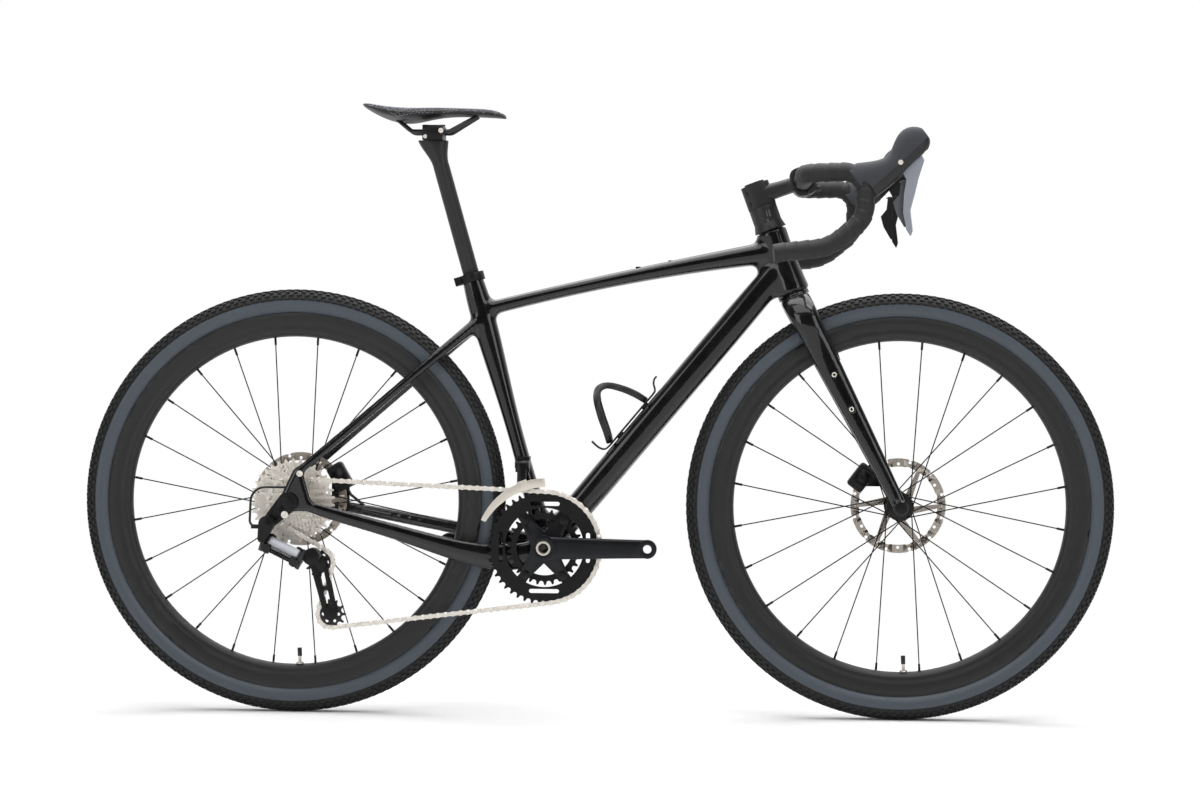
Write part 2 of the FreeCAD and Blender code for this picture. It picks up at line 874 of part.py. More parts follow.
def hub(center, spacing, right, left, right_body, neck, cap):
    end = spacing / 2 - fit_gap
    half = flange_thickness / 2
    rotor_y = spacing / 2 - rotor_inset
    seat_start = rotor_y - rotor_thickness / 2
    seat_end = rotor_y + rotor_thickness / 2 + lockring_thickness
    collar = (hub_shell_radius + rotor_seat_radius) / 2
    points = [(-end, hub_bore_radius), (-end, hub_end_radius), (cap - end, hub_end_radius), (cap - end, neck),
              (right_body, neck), (right_body, collar), (right - half, collar), (right - half, flange_radius),
              (right + half, flange_radius), (right + half, hub_shell_radius),
              (left - half, hub_shell_radius),
              (left - half, flange_radius), (left + half, flange_radius),
              (left + half, rotor_shoulder_radius),
              (seat_start, rotor_shoulder_radius), (seat_start, rotor_seat_radius),
              (seat_end, rotor_seat_radius),
              (seat_end, hub_end_radius), (end, hub_end_radius), (end, hub_bore_radius)]
    return lathe(center, points)


def spokes(center, right, left):
    solids = []
    hole_r = flange_radius - flange_hole_inset
    stand_off = flange_thickness / 2 + spoke_radius + spoke_flange_gap
    for side, flange in enumerate((right, left)):
        outward = math.copysign(1, flange)
        for i in range(spokes_per_flange):
            lean = 1 if i % 2 == 0 else -1
            rim_angle = 2 * math.pi * (i + side / 2 + 1 / 4) / spokes_per_flange
            hub_angle = rim_angle - lean * math.radians(spoke_cross_angle)
            start = polar(center, hole_r, hub_angle) + y_axis * (flange + outward * lean * stand_off)
            end = polar(center, rim_inner_radius - fit_gap * 2, rim_angle)
            end = end + y_axis * (outward * rim_hole_offset)
            along = unit(end - start)
            joint = end - along * nipple_length
            solids.append(fuse(rod(start, joint, spoke_radius), rod(joint, end, nipple_radius)))
    return solids


def rotor(center, spacing):
    y_mid = spacing / 2 - rotor_inset
    y0 = y_mid - rotor_thickness / 2
    y1 = y_mid + rotor_thickness / 2
    inner = rotor_radius - rotor_band
    band = cut(across(center.x, center.z, y0, y1, rotor_radius), across(center.x, center.z, y0, y1, inner))
    tools = []
    for i in range(rotor_hole_count):
        angle = 2 * math.pi * i / rotor_hole_count
        place_r = inner + rotor_band * rotor_hole_shares[i % 2]
        spot = polar(center, place_r, angle)
        tools.append(across(spot.x, spot.z, y0, y1, rotor_hole_radius))
    for i in range(rotor_scallops):
        angle = 2 * math.pi * (i + 1 / 2) / rotor_scallops
        for place_r in (rotor_radius + rotor_scallop_radius - rotor_scallop_depth,
                        inner - rotor_scallop_radius + rotor_scallop_depth):
            spot = polar(center, place_r, angle)
            tools.append(across(spot.x, spot.z, y0, y1, rotor_scallop_radius))
    band = cut(band, *tools)
    arms = []
    for i in range(rotor_arms):
        angle = 2 * math.pi * i / rotor_arms
        low = polar(center, (rotor_carrier_radius + rotor_seat_radius) / 2,
                    angle - math.radians(rotor_arm_sweep))
        high = polar(center, inner + rotor_arm_radius, angle)
        arms.append(hull_plate([(low.x, low.z, rotor_arm_radius * 2), (high.x, high.z, rotor_arm_radius)],
                               y0, y1))
    carrier = across(center.x, center.z, y0, y1, rotor_carrier_radius)
    lockring = across(center.x, center.z, y1, y1 + lockring_thickness, lockring_radius)
    bore = across(center.x, center.z, y0 - cut_overrun, y1 + lockring_thickness + cut_overrun,
                  rotor_seat_radius + fit_gap)
    return cut(fuse(band, carrier, lockring, *arms), bore)


# Brake calipers, as bodies that straddle the rotor
def caliper(center, spacing, angle, foot, seats):
    y_mid = spacing / 2 - rotor_inset
    out = Vector(math.cos(angle), 0, math.sin(angle))
    along = Vector(-math.sin(angle), 0, math.cos(angle))
    origin = center + y_axis * y_mid
    low = rotor_radius - caliper_reach
    body = local_box(origin, out, y_axis, along, (low, -caliper_half_width, -caliper_length / 2),
                     (low + caliper_depth, caliper_half_width, caliper_length / 2))
    body = body.makeFillet(caliper_edge, body.Edges)
    slot_r = rotor_radius + caliper_edge / 2
    slot = across(center.x, center.z, y_mid - caliper_slot / 2, y_mid + caliper_slot / 2, slot_r)
    face = caliper_half_width + piston_cap_height
    mid = origin + out * (low + caliper_depth * piston_share)
    pistons = rod(mid - y_axis * face, mid + y_axis * face, piston_cap_radius)
    body = cut(fuse(body, pistons, foot), slot, *seats)
    solids = [body]
    pad_start = rotor_thickness / 2 + pad_gap
    pad_end = caliper_slot / 2 - fit_gap
    for sign in (-1, 1):
        sides = sorted((sign * pad_start, sign * pad_end))
        solids.append(local_box(origin, out, y_axis, along, (low, sides[0], -pad_length / 2),
                                (low + pad_depth, sides[1], pad_length / 2)))
    return solids


# Toothed wheels and the chain
def pitch_radius(teeth):
    return chain_pitch / (2 * math.sin(math.pi / teeth))


def toothed_plate(center, teeth, phase, y0, y1, gap=tooth_seat_gap):
    radius = pitch_radius(teeth)
    seat = roller_radius + gap
    tip = radius + tooth_height
    steps = []
    for i in range(teeth):
        angle = phase + 2 * math.pi * i / teeth
        out = Vector(math.cos(angle), 0, math.sin(angle))
        turn = Vector(-math.sin(angle), 0, math.cos(angle))
        middle = flat(center, y0) + out * radius
        next_angle = angle + math.pi / teeth
        crest = flat(center, y0) + Vector(math.cos(next_angle), 0, math.sin(next_angle)) * tip
        crest_turn = Vector(-math.sin(next_angle), 0, math.cos(next_angle))
        steps.append(middle - turn * seat)
        steps.append((middle - out * seat, middle + turn * seat))
        steps.append(crest - crest_turn * tooth_tip_half)
        steps.append(crest + crest_turn * tooth_tip_half)
    wire = outline(steps[0], steps[1:])
    return main_solid(Part.Face(wire).extrude(y_axis * (y1 - y0)))


hanger_bolt = (rear_axle.x - hanger_back, rear_axle.z - hanger_down)
link_direction = Vector(math.cos(math.radians(link_slope)), 0, -math.sin(math.radians(link_slope)))
link_down = Vector(-math.sin(math.radians(link_slope)), 0, -math.cos(math.radians(link_slope)))
link_swing = link_down * math.sin(math.radians(link_slant)) + y_axis * math.cos(math.radians(link_slant))
link_axis = link_direction.cross(link_swing)
link_start = Vector(hanger_bolt[0] + link_lead, -link_y, hanger_bolt[1] - link_drop)
link_end = link_start + link_direction * link_length
cage_pivot = (link_end.x + p_knuckle_lead, link_end.z - p_knuckle_drop)
guide_center = (cage_pivot[0] + guide_lead, cage_pivot[1] - guide_drop)


def lower_center(angle):
    return guide_center[0] + cage_length * math.sin(angle), guide_center[1] - cage_length * math.cos(angle)


def chain_path(angle):
    gear = pitch_radius(cassette_teeth[cassette_gear])
    jockey = pitch_radius(jockey_teeth)
    circles = [((bb.x, bb.z), pitch_radius(big_ring_teeth)), ((rear_axle.x, rear_axle.z), gear),
               (guide_center, -jockey), (lower_center(angle), jockey)]
    spans = [belt_tangent(*circles[i], *circles[(i + 1) % 4]) for i in range(4)]
    pieces = []
    for i, (center, radius) in enumerate(circles):
        arrive = spans[i - 1][1]
        leave = spans[i][0]
        first = math.atan2(arrive[1] - center[1], arrive[0] - center[0])
        last = math.atan2(leave[1] - center[1], leave[0] - center[0])
        sense = math.copysign(1, radius)
        sweep = sense * ((sense * (last - first)) % (2 * math.pi))
        pieces.append((abs(radius * sweep), center, abs(radius), first, sweep))
        run = math.hypot(spans[i][1][0] - leave[0], spans[i][1][1] - leave[1])
        pieces.append((run, leave, spans[i][1]))
    return pieces


def path_point(pieces, travel):
    travel = travel % sum(piece[0] for piece in pieces)
    for piece in pieces:
        if travel <= piece[0]:
            break
        travel -= piece[0]
    share = min(travel / piece[0], 1)
    if len(piece) == 3:
        start, end = piece[1:]
        return start[0] + (end[0] - start[0]) * share, start[1] + (end[1] - start[1]) * share
    center, radius, first, sweep = piece[1:]
    turn = first + sweep * share
    return center[0] + radius * math.cos(turn), center[1] + radius * math.sin(turn)


def walk_chain(pieces, count):
    travel = 0.0
    pins = [path_point(pieces, travel)]
    for i in range(count):
        low = travel + chain_pitch * link_search_low
        high = travel + chain_pitch * link_search_high
        for step in range(link_search_steps):
            middle = (low + high) / 2
            spot = path_point(pieces, middle)
            if math.hypot(spot[0] - pins[-1][0], spot[1] - pins[-1][1]) < chain_pitch:
                low = middle
            else:
                high = middle
        travel = low
        pins.append(path_point(pieces, travel))
    return pins, travel


def fit_chain():
    start = math.radians(cage_angle)
    length = sum(piece[0] for piece in chain_path(start))
    links = 2 * round(length / (2 * chain_pitch))
    low = start - math.radians(cage_swing)
    high = start + math.radians(cage_swing)
    for step in range(cage_search_steps):
        middle = (low + high) / 2
        pieces = chain_path(middle)
        if walk_chain(pieces, links)[1] < sum(piece[0] for piece in pieces):
            low = middle
        else:
            high = middle
    pieces = chain_path(low)
    return low, walk_chain(pieces, links)[0][:links]


cage_rest, chain_pins = fit_chain()
lower_jockey_center = lower_center(cage_rest)


def phase_on(center, teeth):
    radius = pitch_radius(teeth)
    nearest = min(chain_pins, key=lambda p: abs(math.hypot(p[0] - center[0], p[1] - center[1]) - radius))
    return math.atan2(nearest[1] - center[1], nearest[0] - center[0])


def link_plate(y0, y1):
    half = chain_pitch / 2
    bow = (half ** 2 + plate_waist ** 2 - plate_radius ** 2) / (2 * (plate_radius - plate_waist))
    share = plate_radius / (plate_radius + bow)
    touch_x = half - half * share
    touch_z = (plate_waist + bow) * share
    right_top = Vector(touch_x, y0, touch_z)
    left_top = Vector(-touch_x, y0, touch_z)
    left_low = Vector(-touch_x, y0, -touch_z)
    right_low = Vector(touch_x, y0, -touch_z)
    steps = [(Vector(0, y0, plate_waist), left_top), (Vector(-half - plate_radius, y0, 0), left_low),
             (Vector(0, y0, -plate_waist), right_low), (Vector(half + plate_radius, y0, 0), right_top)]
    return main_solid(Part.Face(outline(right_top, steps)).extrude(y_axis * (y1 - y0)))


def chain():
    half = chain_pitch / 2
    inner_face = roller_width / 2
    inner_outer = inner_face + inner_plate_thickness
    outer_inner = inner_outer + fit_gap
    outer_face = outer_inner + outer_plate_thickness
    rollers = [across(x, 0, -inner_face, inner_face, roller_radius) for x in (-half, half)]
    inner = fuse(link_plate(inner_face, inner_outer), link_plate(-inner_outer, -inner_face), *rollers)
    inner = cut(inner, *[across(x, 0, -outer_face, outer_face, pin_radius + fit_gap) for x in (-half, half)])
    pins = [across(x, 0, -outer_face, outer_face, pin_radius) for x in (-half, half)]
    outer = fuse(link_plate(outer_inner, outer_face), link_plate(-outer_face, -outer_inner), *pins)
    solids = []
    for i, pin in enumerate(chain_pins):
        after = chain_pins[(i + 1) % len(chain_pins)]
        middle = Vector((pin[0] + after[0]) / 2, -chain_line, (pin[1] + after[1]) / 2)
        turn = -math.degrees(math.atan2(after[1] - pin[1], after[0] - pin[0]))
        link = (inner if i % 2 == 0 else outer).copy()
        link.Placement = FreeCAD.Placement(middle, FreeCAD.Rotation(y_axis, turn))
        solids.append(link)
    return solids


# Crank, chainrings and cassette
crank_spot = (bb.x, bb.z)
big_ring_face = chain_line + ring_thickness / 2
small_ring_y = chain_line - ring_spacing
small_ring_face = small_ring_y + ring_thickness / 2
spider_face = big_ring_face + spider_thickness
spider_angles = [math.radians(a)
                 for a in (spider_angle, 180 - spider_angle, 180 + spider_angle, -spider_angle)]


def crank_arm(sign, direction):
    middle = sign * (crank_inner_face + crank_offset) / 2
    half = (crank_offset - crank_inner_face) / 2
    stations = []
    for share, up, side in crank_arm_shares:
        center = bb + Vector(direction * crank_length * share, middle, 0)
        stations.append((center, crank_half_height * up, half * side))
    arm = tube(stations, crank_squareness)
    tip = bb.x + direction * crank_length
    faces = sorted((sign * crank_inner_face, sign * crank_offset))
    pedal_boss = across(tip, bb.z, faces[0], faces[1], pedal_boss_radius)
    faces = sorted((sign * spider_face, sign * (crank_offset + crank_cap)))
    axle_boss = across(bb.x, bb.z, faces[0], faces[1], crank_boss_radius)
    hole = across(tip, bb.z, -crank_length, crank_length, pedal_hole_radius)
    return cut(fuse(arm, pedal_boss, axle_boss), hole)


def ring_spots(radius):
    return [polar(bb, radius, angle) for angle in spider_angles]


def right_crank():
    end = crank_offset + crank_cap
    parts = []
    for outer, inner in zip(ring_spots(big_bolt_circle), ring_spots(small_bolt_circle)):
        parts.append(hull_plate([(bb.x, bb.z, spider_root_radius), (outer.x, outer.z, spider_half)],
                                -spider_face, -big_ring_face))
        parts.append(hull_plate([(bb.x, bb.z, spider_root_radius), (inner.x, inner.z, small_tab_radius)],
                                -big_ring_face, -small_ring_face))
    whole = fuse(crank_arm(-1, 1), *parts)
    holes = [across(p.x, p.z, -spider_face - cut_overrun, -small_ring_y, ring_bolt_radius + fit_gap)
             for p in ring_spots(big_bolt_circle)]
    small = [across(p.x, p.z, -big_ring_face, -small_ring_y, small_bolt_radius + fit_gap)
             for p in ring_spots(small_bolt_circle)]
    bore = across(bb.x, bb.z, -end - cut_overrun, 0, crank_axle_radius + fit_gap)
    axle = across(bb.x, bb.z, -end, crank_offset, crank_axle_radius)
    hollow = across(bb.x, bb.z, -end, crank_offset, crank_axle_bore)
    return [cut(whole, bore, *holes, *small), cut(axle, hollow)]


def left_crank():
    arm = crank_arm(1, -1)
    bore = across(bb.x, bb.z, 0, crank_offset, crank_axle_radius + fit_gap)
    slot = Part.makeBox(crank_boss_radius + cut_overrun, crank_offset, left_clamp_slot,
                        Vector(bb.x, spider_face - cut_overrun, bb.z - left_clamp_slot / 2))
    return cut(arm, bore, slot, *left_bolts())


def left_bolts():
    left = bb + Vector(left_clamp_lead, 0, 0)
    half = z_axis * (left_clamp_length / 2)
    return [rod(left + y_axis * y - half, left + y_axis * y + half, left_clamp_bolt_radius)
            for y in (spider_face + left_clamp_inset, crank_offset - left_clamp_inset)]


def big_ring():
    y0 = -big_ring_face
    y1 = y0 + ring_thickness
    disc = toothed_plate(crank_spot, big_ring_teeth, phase_on(crank_spot, big_ring_teeth), y0, y1)
    bosses = []
    tools = [across(bb.x, bb.z, y0, y1, big_ring_opening)]
    ring = cut(disc, *tools)
    for angle in spider_angles:
        foot = polar(bb, big_bolt_circle, angle)
        root = polar(bb, big_ring_opening + ring_boss_radius, angle)
        bosses.append(hull_plate([(foot.x, foot.z, spider_half), (root.x, root.z, ring_boss_radius)], y0, y1))
    ring = fuse(ring, *bosses)
    holes = [across(p.x, p.z, y0, y1, ring_bolt_radius + fit_gap) for p in ring_spots(big_bolt_circle)]
    for angle in (0, math.pi / 2, math.pi, -math.pi / 2):
        spread = big_window_length / 2 / big_window_place
        ends = [polar(bb, big_window_place, angle + side * spread) for side in (-1, 1)]
        holes.append(hull_plate([(p.x, p.z, big_window_radius) for p in ends], y0, y1))
    return cut(ring, *holes)


def small_ring():
    y0 = -small_ring_face
    y1 = y0 + ring_thickness
    disc = toothed_plate(crank_spot, small_ring_teeth, phase_on(crank_spot, big_ring_teeth), y0, y1)
    ring = cut(disc, across(bb.x, bb.z, y0, y1, small_ring_opening))
    bosses = []
    for angle in spider_angles:
        foot = polar(bb, small_bolt_circle, angle)
        root = polar(bb, small_ring_opening + small_tab_radius, angle)
        bosses.append(hull_plate([(foot.x, foot.z, small_tab_radius), (root.x, root.z, small_tab_radius)],
                                 y0, y1))
    holes = [across(p.x, p.z, y0, y1, small_bolt_radius + fit_gap) for p in ring_spots(small_bolt_circle)]
    return cut(fuse(ring, *bosses), *holes)


def ring_bolts():
    solids = []
    for p in ring_spots(big_bolt_circle):
        shank = across(p.x, p.z, -spider_face, ring_thickness - big_ring_face, ring_bolt_radius)
        head = across(p.x, p.z, -spider_face - ring_bolt_head, -spider_face, ring_bolt_head_radius)
        solids.append(fuse(shank, head))
    for p in ring_spots(small_bolt_circle):
        back = ring_thickness - small_ring_face
        shank = across(p.x, p.z, -big_ring_face, back, small_bolt_radius)
        head = across(p.x, p.z, back, back + ring_bolt_head, small_bolt_head)
        solids.append(fuse(shank, head))
    return solids + left_bolts()


axle_spot = (rear_axle.x, rear_axle.z)
cassette_out = chain_line + cassette_pitch * cassette_gear + sprocket_thickness / 2
freehub_end = cassette_out + cassette_lockring_width / 2


def cassette():
    solids = []
    bore = freehub_radius + fit_gap
    for i, teeth in enumerate(cassette_teeth):
        middle = -chain_line + cassette_pitch * (i - cassette_gear)
        y0 = middle - sprocket_thickness / 2
        y1 = middle + sprocket_thickness / 2
        phase = phase_on(axle_spot, cassette_teeth[cassette_gear]) if i == cassette_gear else 0
        plate = toothed_plate(axle_spot, teeth, phase, y0, y1)
        if i < len(cassette_teeth) - 1:
            collar = across(rear_axle.x, rear_axle.z, y1, y0 + cassette_pitch,
                            freehub_radius + sprocket_collar)
            plate = fuse(plate, collar)
        tools = [across(rear_axle.x, rear_axle.z, y0 - cut_overrun, y1 + cassette_pitch, bore)]
        if pitch_radius(teeth) > sprocket_hole_min:
            hole_r = (pitch_radius(teeth) + freehub_radius + sprocket_collar) / 2
            for k in range(sprocket_hole_count):
                spot = polar(rear_axle, hole_r, 2 * math.pi * k / sprocket_hole_count)
                tools.append(across(spot.x, spot.z, y0, y1, sprocket_hole_radius * 2))
                spot = polar(rear_axle, pitch_radius(teeth) - roller_radius - sprocket_hole_radius * 2,
                             2 * math.pi * (k + 1 / 2) / sprocket_hole_count)
                tools.append(across(spot.x, spot.z, y0, y1, sprocket_hole_radius))
        solids.append(cut(plate, *tools))
    start = -freehub_end + freehub_length
    body = across(rear_axle.x, rear_axle.z, -freehub_end, start, freehub_radius)
    lip = across(rear_axle.x, rear_axle.z,
                 -chain_line + cassette_pitch * (len(cassette_teeth) - 1 - cassette_gear)
                 + sprocket_thickness / 2, start, freehub_radius + sprocket_collar)
    lock = across(rear_axle.x, rear_axle.z, -freehub_end - cassette_lockring_width / 2, -cassette_out,
                  cassette_lockring_radius + sprocket_collar)
    bore = across(rear_axle.x, rear_axle.z, -rear_spacing, rear_spacing, freehub_bore_radius)
    body = cut(fuse(body, lip), bore)
    clear = across(rear_axle.x, rear_axle.z, -rear_spacing, rear_spacing, hub_end_radius + running_gap)
    return solids + [body, cut(lock, body, clear)]


# Rear derailleur
link_turn = FreeCAD.Matrix(link_direction.x, -link_axis.x, link_swing.x, 0,
                           link_direction.y, -link_axis.y, link_swing.y, 0,
                           link_direction.z, -link_axis.z, link_swing.z, 0,
                           0, 0, 0, 1)


def in_link_frame(shape, origin):
    turned = shape.copy()
    spot = FreeCAD.Placement(link_turn)
    spot.Base = origin
    turned.Placement = spot.multiply(turned.Placement)
    return turned


def derailleur_link(origin):
    bar = hull_plate([(0, 0, link_half_thickness), (link_length, 0, link_half_thickness)],
                     -link_half_width, link_half_width)
    holes = [across(x, 0, -link_half_width, link_half_width, link_pin_radius + fit_gap)
             for x in (0, link_length)]
    return in_link_frame(cut(bar, *holes), origin)


def derailleur_yoke(side):
    near = link_half_width + running_gap
    far = near + ear_thickness
    parts = []
    for y0, y1 in ((near, far), (-far, -near)):
        parts.append(hull_plate([(0, 0, ear_radius), (0, link_spacing, ear_radius)], y0, y1))
    wall = link_half_thickness + running_gap * 2
    ends = sorted((side * wall, side * (wall + yoke_wall)))
    parts.append(local_box(Vector(0, 0, 0), x_axis, y_axis, z_axis, (ends[0], -far, -ear_radius),
                           (ends[1], far, link_spacing + ear_radius)))
    pins = [across(0, z, -far, far, link_pin_radius) for z in (0, link_spacing)]
    return fuse(parts[2], parts[0], parts[1], *pins)


def hanger():
    y0 = -dropout_face - dropout_thickness - hanger_thickness
    y1 = -dropout_face - dropout_thickness
    plate = hull_plate([(rear_axle.x, rear_axle.z, dropout_axle_radius),
                        (hanger_bolt[0], hanger_bolt[1], hanger_end_radius)], y0, y1)
    hole = across(hanger_bolt[0], hanger_bolt[1], y0, y1, b_bolt_radius + fit_gap)
    return cut(plate, axle_hole, hole)


hanger_face = -dropout_face - dropout_thickness - hanger_thickness


def derailleur_bracket():
    x, z = hanger_bolt
    y0 = hanger_face - b_knuckle_width
    back = link_half_thickness + running_gap * 2 + yoke_wall
    low = link_start - link_direction * back
    arm = hull_plate([(x, z, b_knuckle_radius), (low.x, low.z, yoke_wall)], y0, hanger_face)
    sweep = []
    for turn in (-link_out_angle, 0, link_in_angle):
        bar = hull_plate([(0, 0, link_half_thickness + running_gap),
                          (link_length, 0, link_half_thickness + running_gap)],
                         -link_half_width - running_gap, link_half_width + running_gap)
        bar.rotate(Vector(0, 0, 0), y_axis, -turn)
        sweep.append(in_link_frame(bar, link_start))
    arm = cut(arm, *sweep)
    bolt = across(x, z, y0 - adjuster_radius, hanger_face + hanger_thickness, b_bolt_radius)
    yoke = in_link_frame(derailleur_yoke(-1), link_start)
    rear = Vector(x - b_knuckle_radius - adjuster_length, cable_end_y, z - adjuster_drop)
    adjuster = rod(rear, rear + x_axis * (adjuster_length + adjuster_radius), adjuster_radius)
    return fuse(arm, bolt, yoke, adjuster)


def derailleur_knuckle():
    x, z = cage_pivot
    face = -chain_line - cage_half_gap - cage_thickness - running_gap
    body = across(x, z, -p_knuckle_outer, face, p_knuckle_radius)
    yoke = in_link_frame(derailleur_yoke(1), link_end)
    bore = across(x, z, face - p_pivot_depth - running_gap, face + cut_overrun, p_pivot_radius + fit_gap)
    return cut(fuse(body, yoke), bore)


def derailleur_cage():
    gx, gz = guide_center
    lx, lz = lower_jockey_center
    px, pz = cage_pivot
    outer = -chain_line - cage_half_gap
    inner = -chain_line + cage_half_gap
    plates = [hull_plate([(px, pz, p_pivot_radius * 2), (lx, lz, cage_lower_radius),
                          (gx, gz, cage_upper_radius)],
                         outer - cage_thickness, outer),
              hull_plate([(lx, lz, cage_lower_radius), (gx, gz, cage_upper_radius)], inner,
                         inner + cage_thickness)]
    bolts = [across(x, z, outer, inner, jockey_bolt_radius) for x, z in (guide_center, lower_jockey_center)]
    face = outer - cage_thickness
    bolts.append(across(px, pz, face - p_pivot_depth, face, p_pivot_radius))
    tools = []
    for low_share, high_share in cage_window_shares:
        ends = [(gx + (lx - gx) * s, gz + (lz - gz) * s, cage_window_radius) for s in (low_share, high_share)]
        tools.append(hull_plate(ends, outer - cage_thickness - fit_gap, inner + cage_thickness + fit_gap))
    return fuse(cut(plates[0], *tools), cut(plates[1], *tools), *bolts)


def jockey(center):
    y0 = -chain_line - jockey_thickness / 2
    phase = phase_on(center, jockey_teeth)
    plate = toothed_plate(center, jockey_teeth, phase, y0, y0 + jockey_thickness, jockey_seat_gap)
    middle = across(center[0], center[1], -chain_line - jockey_hub_half, -chain_line + jockey_hub_half,
                    jockey_hub_radius)
    tools = [across(center[0], center[1], -chain_line - jockey_hub_half, -chain_line + jockey_hub_half,
                    jockey_bolt_radius + fit_gap)]
    hole_r = (jockey_hub_radius + pitch_radius(jockey_teeth) - roller_radius) / 2
    for i in range(jockey_hole_count):
        spot = polar(flat(center, 0), hole_r, 2 * math.pi * i / jockey_hole_count)
        tools.append(across(spot.x, spot.z, y0, y0 + jockey_thickness, jockey_hole_radius))
    return cut(fuse(plate, middle), *tools)


# Front derailleur
fd_base = bb + seat_up * fd_height
fd_pivot = Vector(fd_base.x, -fd_pivot_y, fd_base.z)


def x_plate(circles, x0, x1):
    edges_plate = hull_plate(circles, 0, x1 - x0)
    edges_plate.rotate(Vector(0, 0, 0), z_axis, 90)
    edges_plate.translate(Vector(x1, 0, 0))
    return edges_plate


def fd_mount():
    half = fd_arm_width / 2 + running_gap
    far = half + fd_ear_thickness
    parts = []
    for x0, x1 in ((half, far), (-far, -half)):
        parts.append(x_plate([(fd_pivot.y, fd_pivot.z, fd_arm_radius),
                              (-seat_tube_half, fd_pivot.z, fd_arm_radius)],
                             fd_pivot.x + x0, fd_pivot.x + x1))
    reach = fd_pivot_y - fd_arm_radius - running_gap
    block = Part.makeBox(far * 2, reach, fd_block_half * 2,
                         Vector(fd_pivot.x - far, -reach, fd_pivot.z - fd_block_half))
    pin = rod(fd_pivot - x_axis * far, fd_pivot + x_axis * far, fd_pin_radius)
    return cut(fuse(block, pin, *parts), seat_body)


def fd_arc_plate(inner, outer, y0, y1):
    first = math.radians(fd_cage_front_angle)
    last = math.radians(fd_cage_rear_angle)
    middle = (first + last) / 2
    base = Vector(bb.x, y0, bb.z)
    tail = outer - (outer - inner) * fd_tail_share
    steps = [(polar(base, outer, middle), polar(base, outer, last)), polar(base, tail, last),
             (polar(base, inner, middle), polar(base, inner, first))]
    return main_solid(Part.Face(outline(polar(base, outer, first), steps)).extrude(y_axis * (y1 - y0)))


def front_derailleur():
    outer = -chain_line - fd_cage_half_gap
    inner = -chain_line + fd_cage_half_gap
    half = fd_arm_width / 2
    plates = [fd_arc_plate(fd_cage_inner, fd_cage_outer, outer - fd_plate_thickness, outer),
              fd_arc_plate(fd_cage_inner, fd_cage_outer, inner, inner + fd_plate_thickness)]
    angle = math.atan2(fd_pivot.z - bb.z, fd_pivot.x - bb.x)
    low = polar(bb, fd_cage_outer - fd_plate_thickness * 2, angle)
    arm = x_plate([(fd_pivot.y, fd_pivot.z, fd_arm_radius), (inner, low.z, fd_arm_radius / 2)],
                  fd_pivot.x - half, fd_pivot.x + half)
    bridge = Part.makeBox(fd_arm_width, inner - outer + fd_plate_thickness * 2, fd_plate_thickness * 3,
                          Vector(low.x - half, outer - fd_plate_thickness, low.z - fd_plate_thickness))
    tail_at = polar(bb, fd_cage_outer - (fd_cage_outer - fd_cage_inner) * fd_tail_share / 2,
                    math.radians(fd_cage_rear_angle) - fd_tail_radius * 2 / fd_cage_outer)
    tail = across(tail_at.x, tail_at.z, outer, inner, fd_tail_radius)
    hole = rod(fd_pivot - x_axis * fd_arm_width, fd_pivot + x_axis * fd_arm_width, fd_pin_radius + fit_gap)
    return cut(fuse(plates[0], plates[1], arm, bridge, tail), hole)


# Bottle cage, in a frame along the down tube
tube_along = unit(down_tube_point(0) - bb)
tube_out = Vector(-tube_along.z, 0, tube_along.x)


def on_tube(run, out):
    spot = bb + tube_along * run + tube_out * out
    return spot.x, spot.z


spine_top = down_tube_half + bottle_stand_off
bottle_line = spine_top + bottle_radius


def bottle_cage():
    run0 = cage_spine_start
    run1 = cage_spine_start + cage_spine_length
    half = cage_spine_width / 2
    low = down_tube_half / 2
    spine = prism([on_tube(run0, low), on_tube(run1, low), on_tube(run1, spine_top),
                   on_tube(run0, spine_top)],
                  -half, half)
    shell_ends = [bb + tube_along * run + tube_out * bottle_line
                  for run in (run0 - cage_foot_length, run1 * 2)]
    outer = rod(shell_ends[0], shell_ends[1], bottle_radius + cage_band)
    inner = rod(shell_ends[0], shell_ends[1], bottle_radius)
    crest = bottle_line + bottle_radius + cage_band + cut_overrun
    lean = run0 + cage_loop_lean
    width = cage_loop_width
    frame_outer = prism([on_tube(run0, low), on_tube(run0 + cage_loop_length + width, low),
                         on_tube(lean + width * 2, crest), on_tube(lean, crest)],
                        -bottle_line, bottle_line)
    crest_in = crest - width - cut_overrun
    frame_inner = prism([on_tube(run0 + width * 2, spine_top + width / 2),
                         on_tube(run0 + cage_loop_length - width, spine_top + width / 2),
                         on_tube(lean + width * 3 / 2, crest_in), on_tube(lean + width, crest_in)],
                        -bottle_line, bottle_line)
    wings = main_solid(outer.cut(inner).common(frame_outer.cut(frame_inner)))
    lip = prism([on_tube(run1 - width, spine_top), on_tube(run1, low),
                 on_tube(run1 + cage_lip_length, spine_top + width),
                 on_tube(run1 + cage_lip_length - cage_band,
                         spine_top + width + cage_band)], -half / 2, half / 2)
    foot = prism([on_tube(run0 + width, low), on_tube(run0 + width, spine_top),
                  on_tube(run0, spine_top + cage_band),
                  on_tube(run0 - width / 2, spine_top + cage_foot_length),
                  on_tube(run0 - width, spine_top + cage_foot_length),
                  on_tube(run0 - width, spine_top)], -half, half)
    keep_clear = rod(shell_ends[0] + tube_along * (cage_foot_length - width / 2), shell_ends[1],
                     bottle_radius)
    whole = fuse(spine, wings, lip, foot)
    return cut(whole, keep_clear, down_body, *cage_bolts())


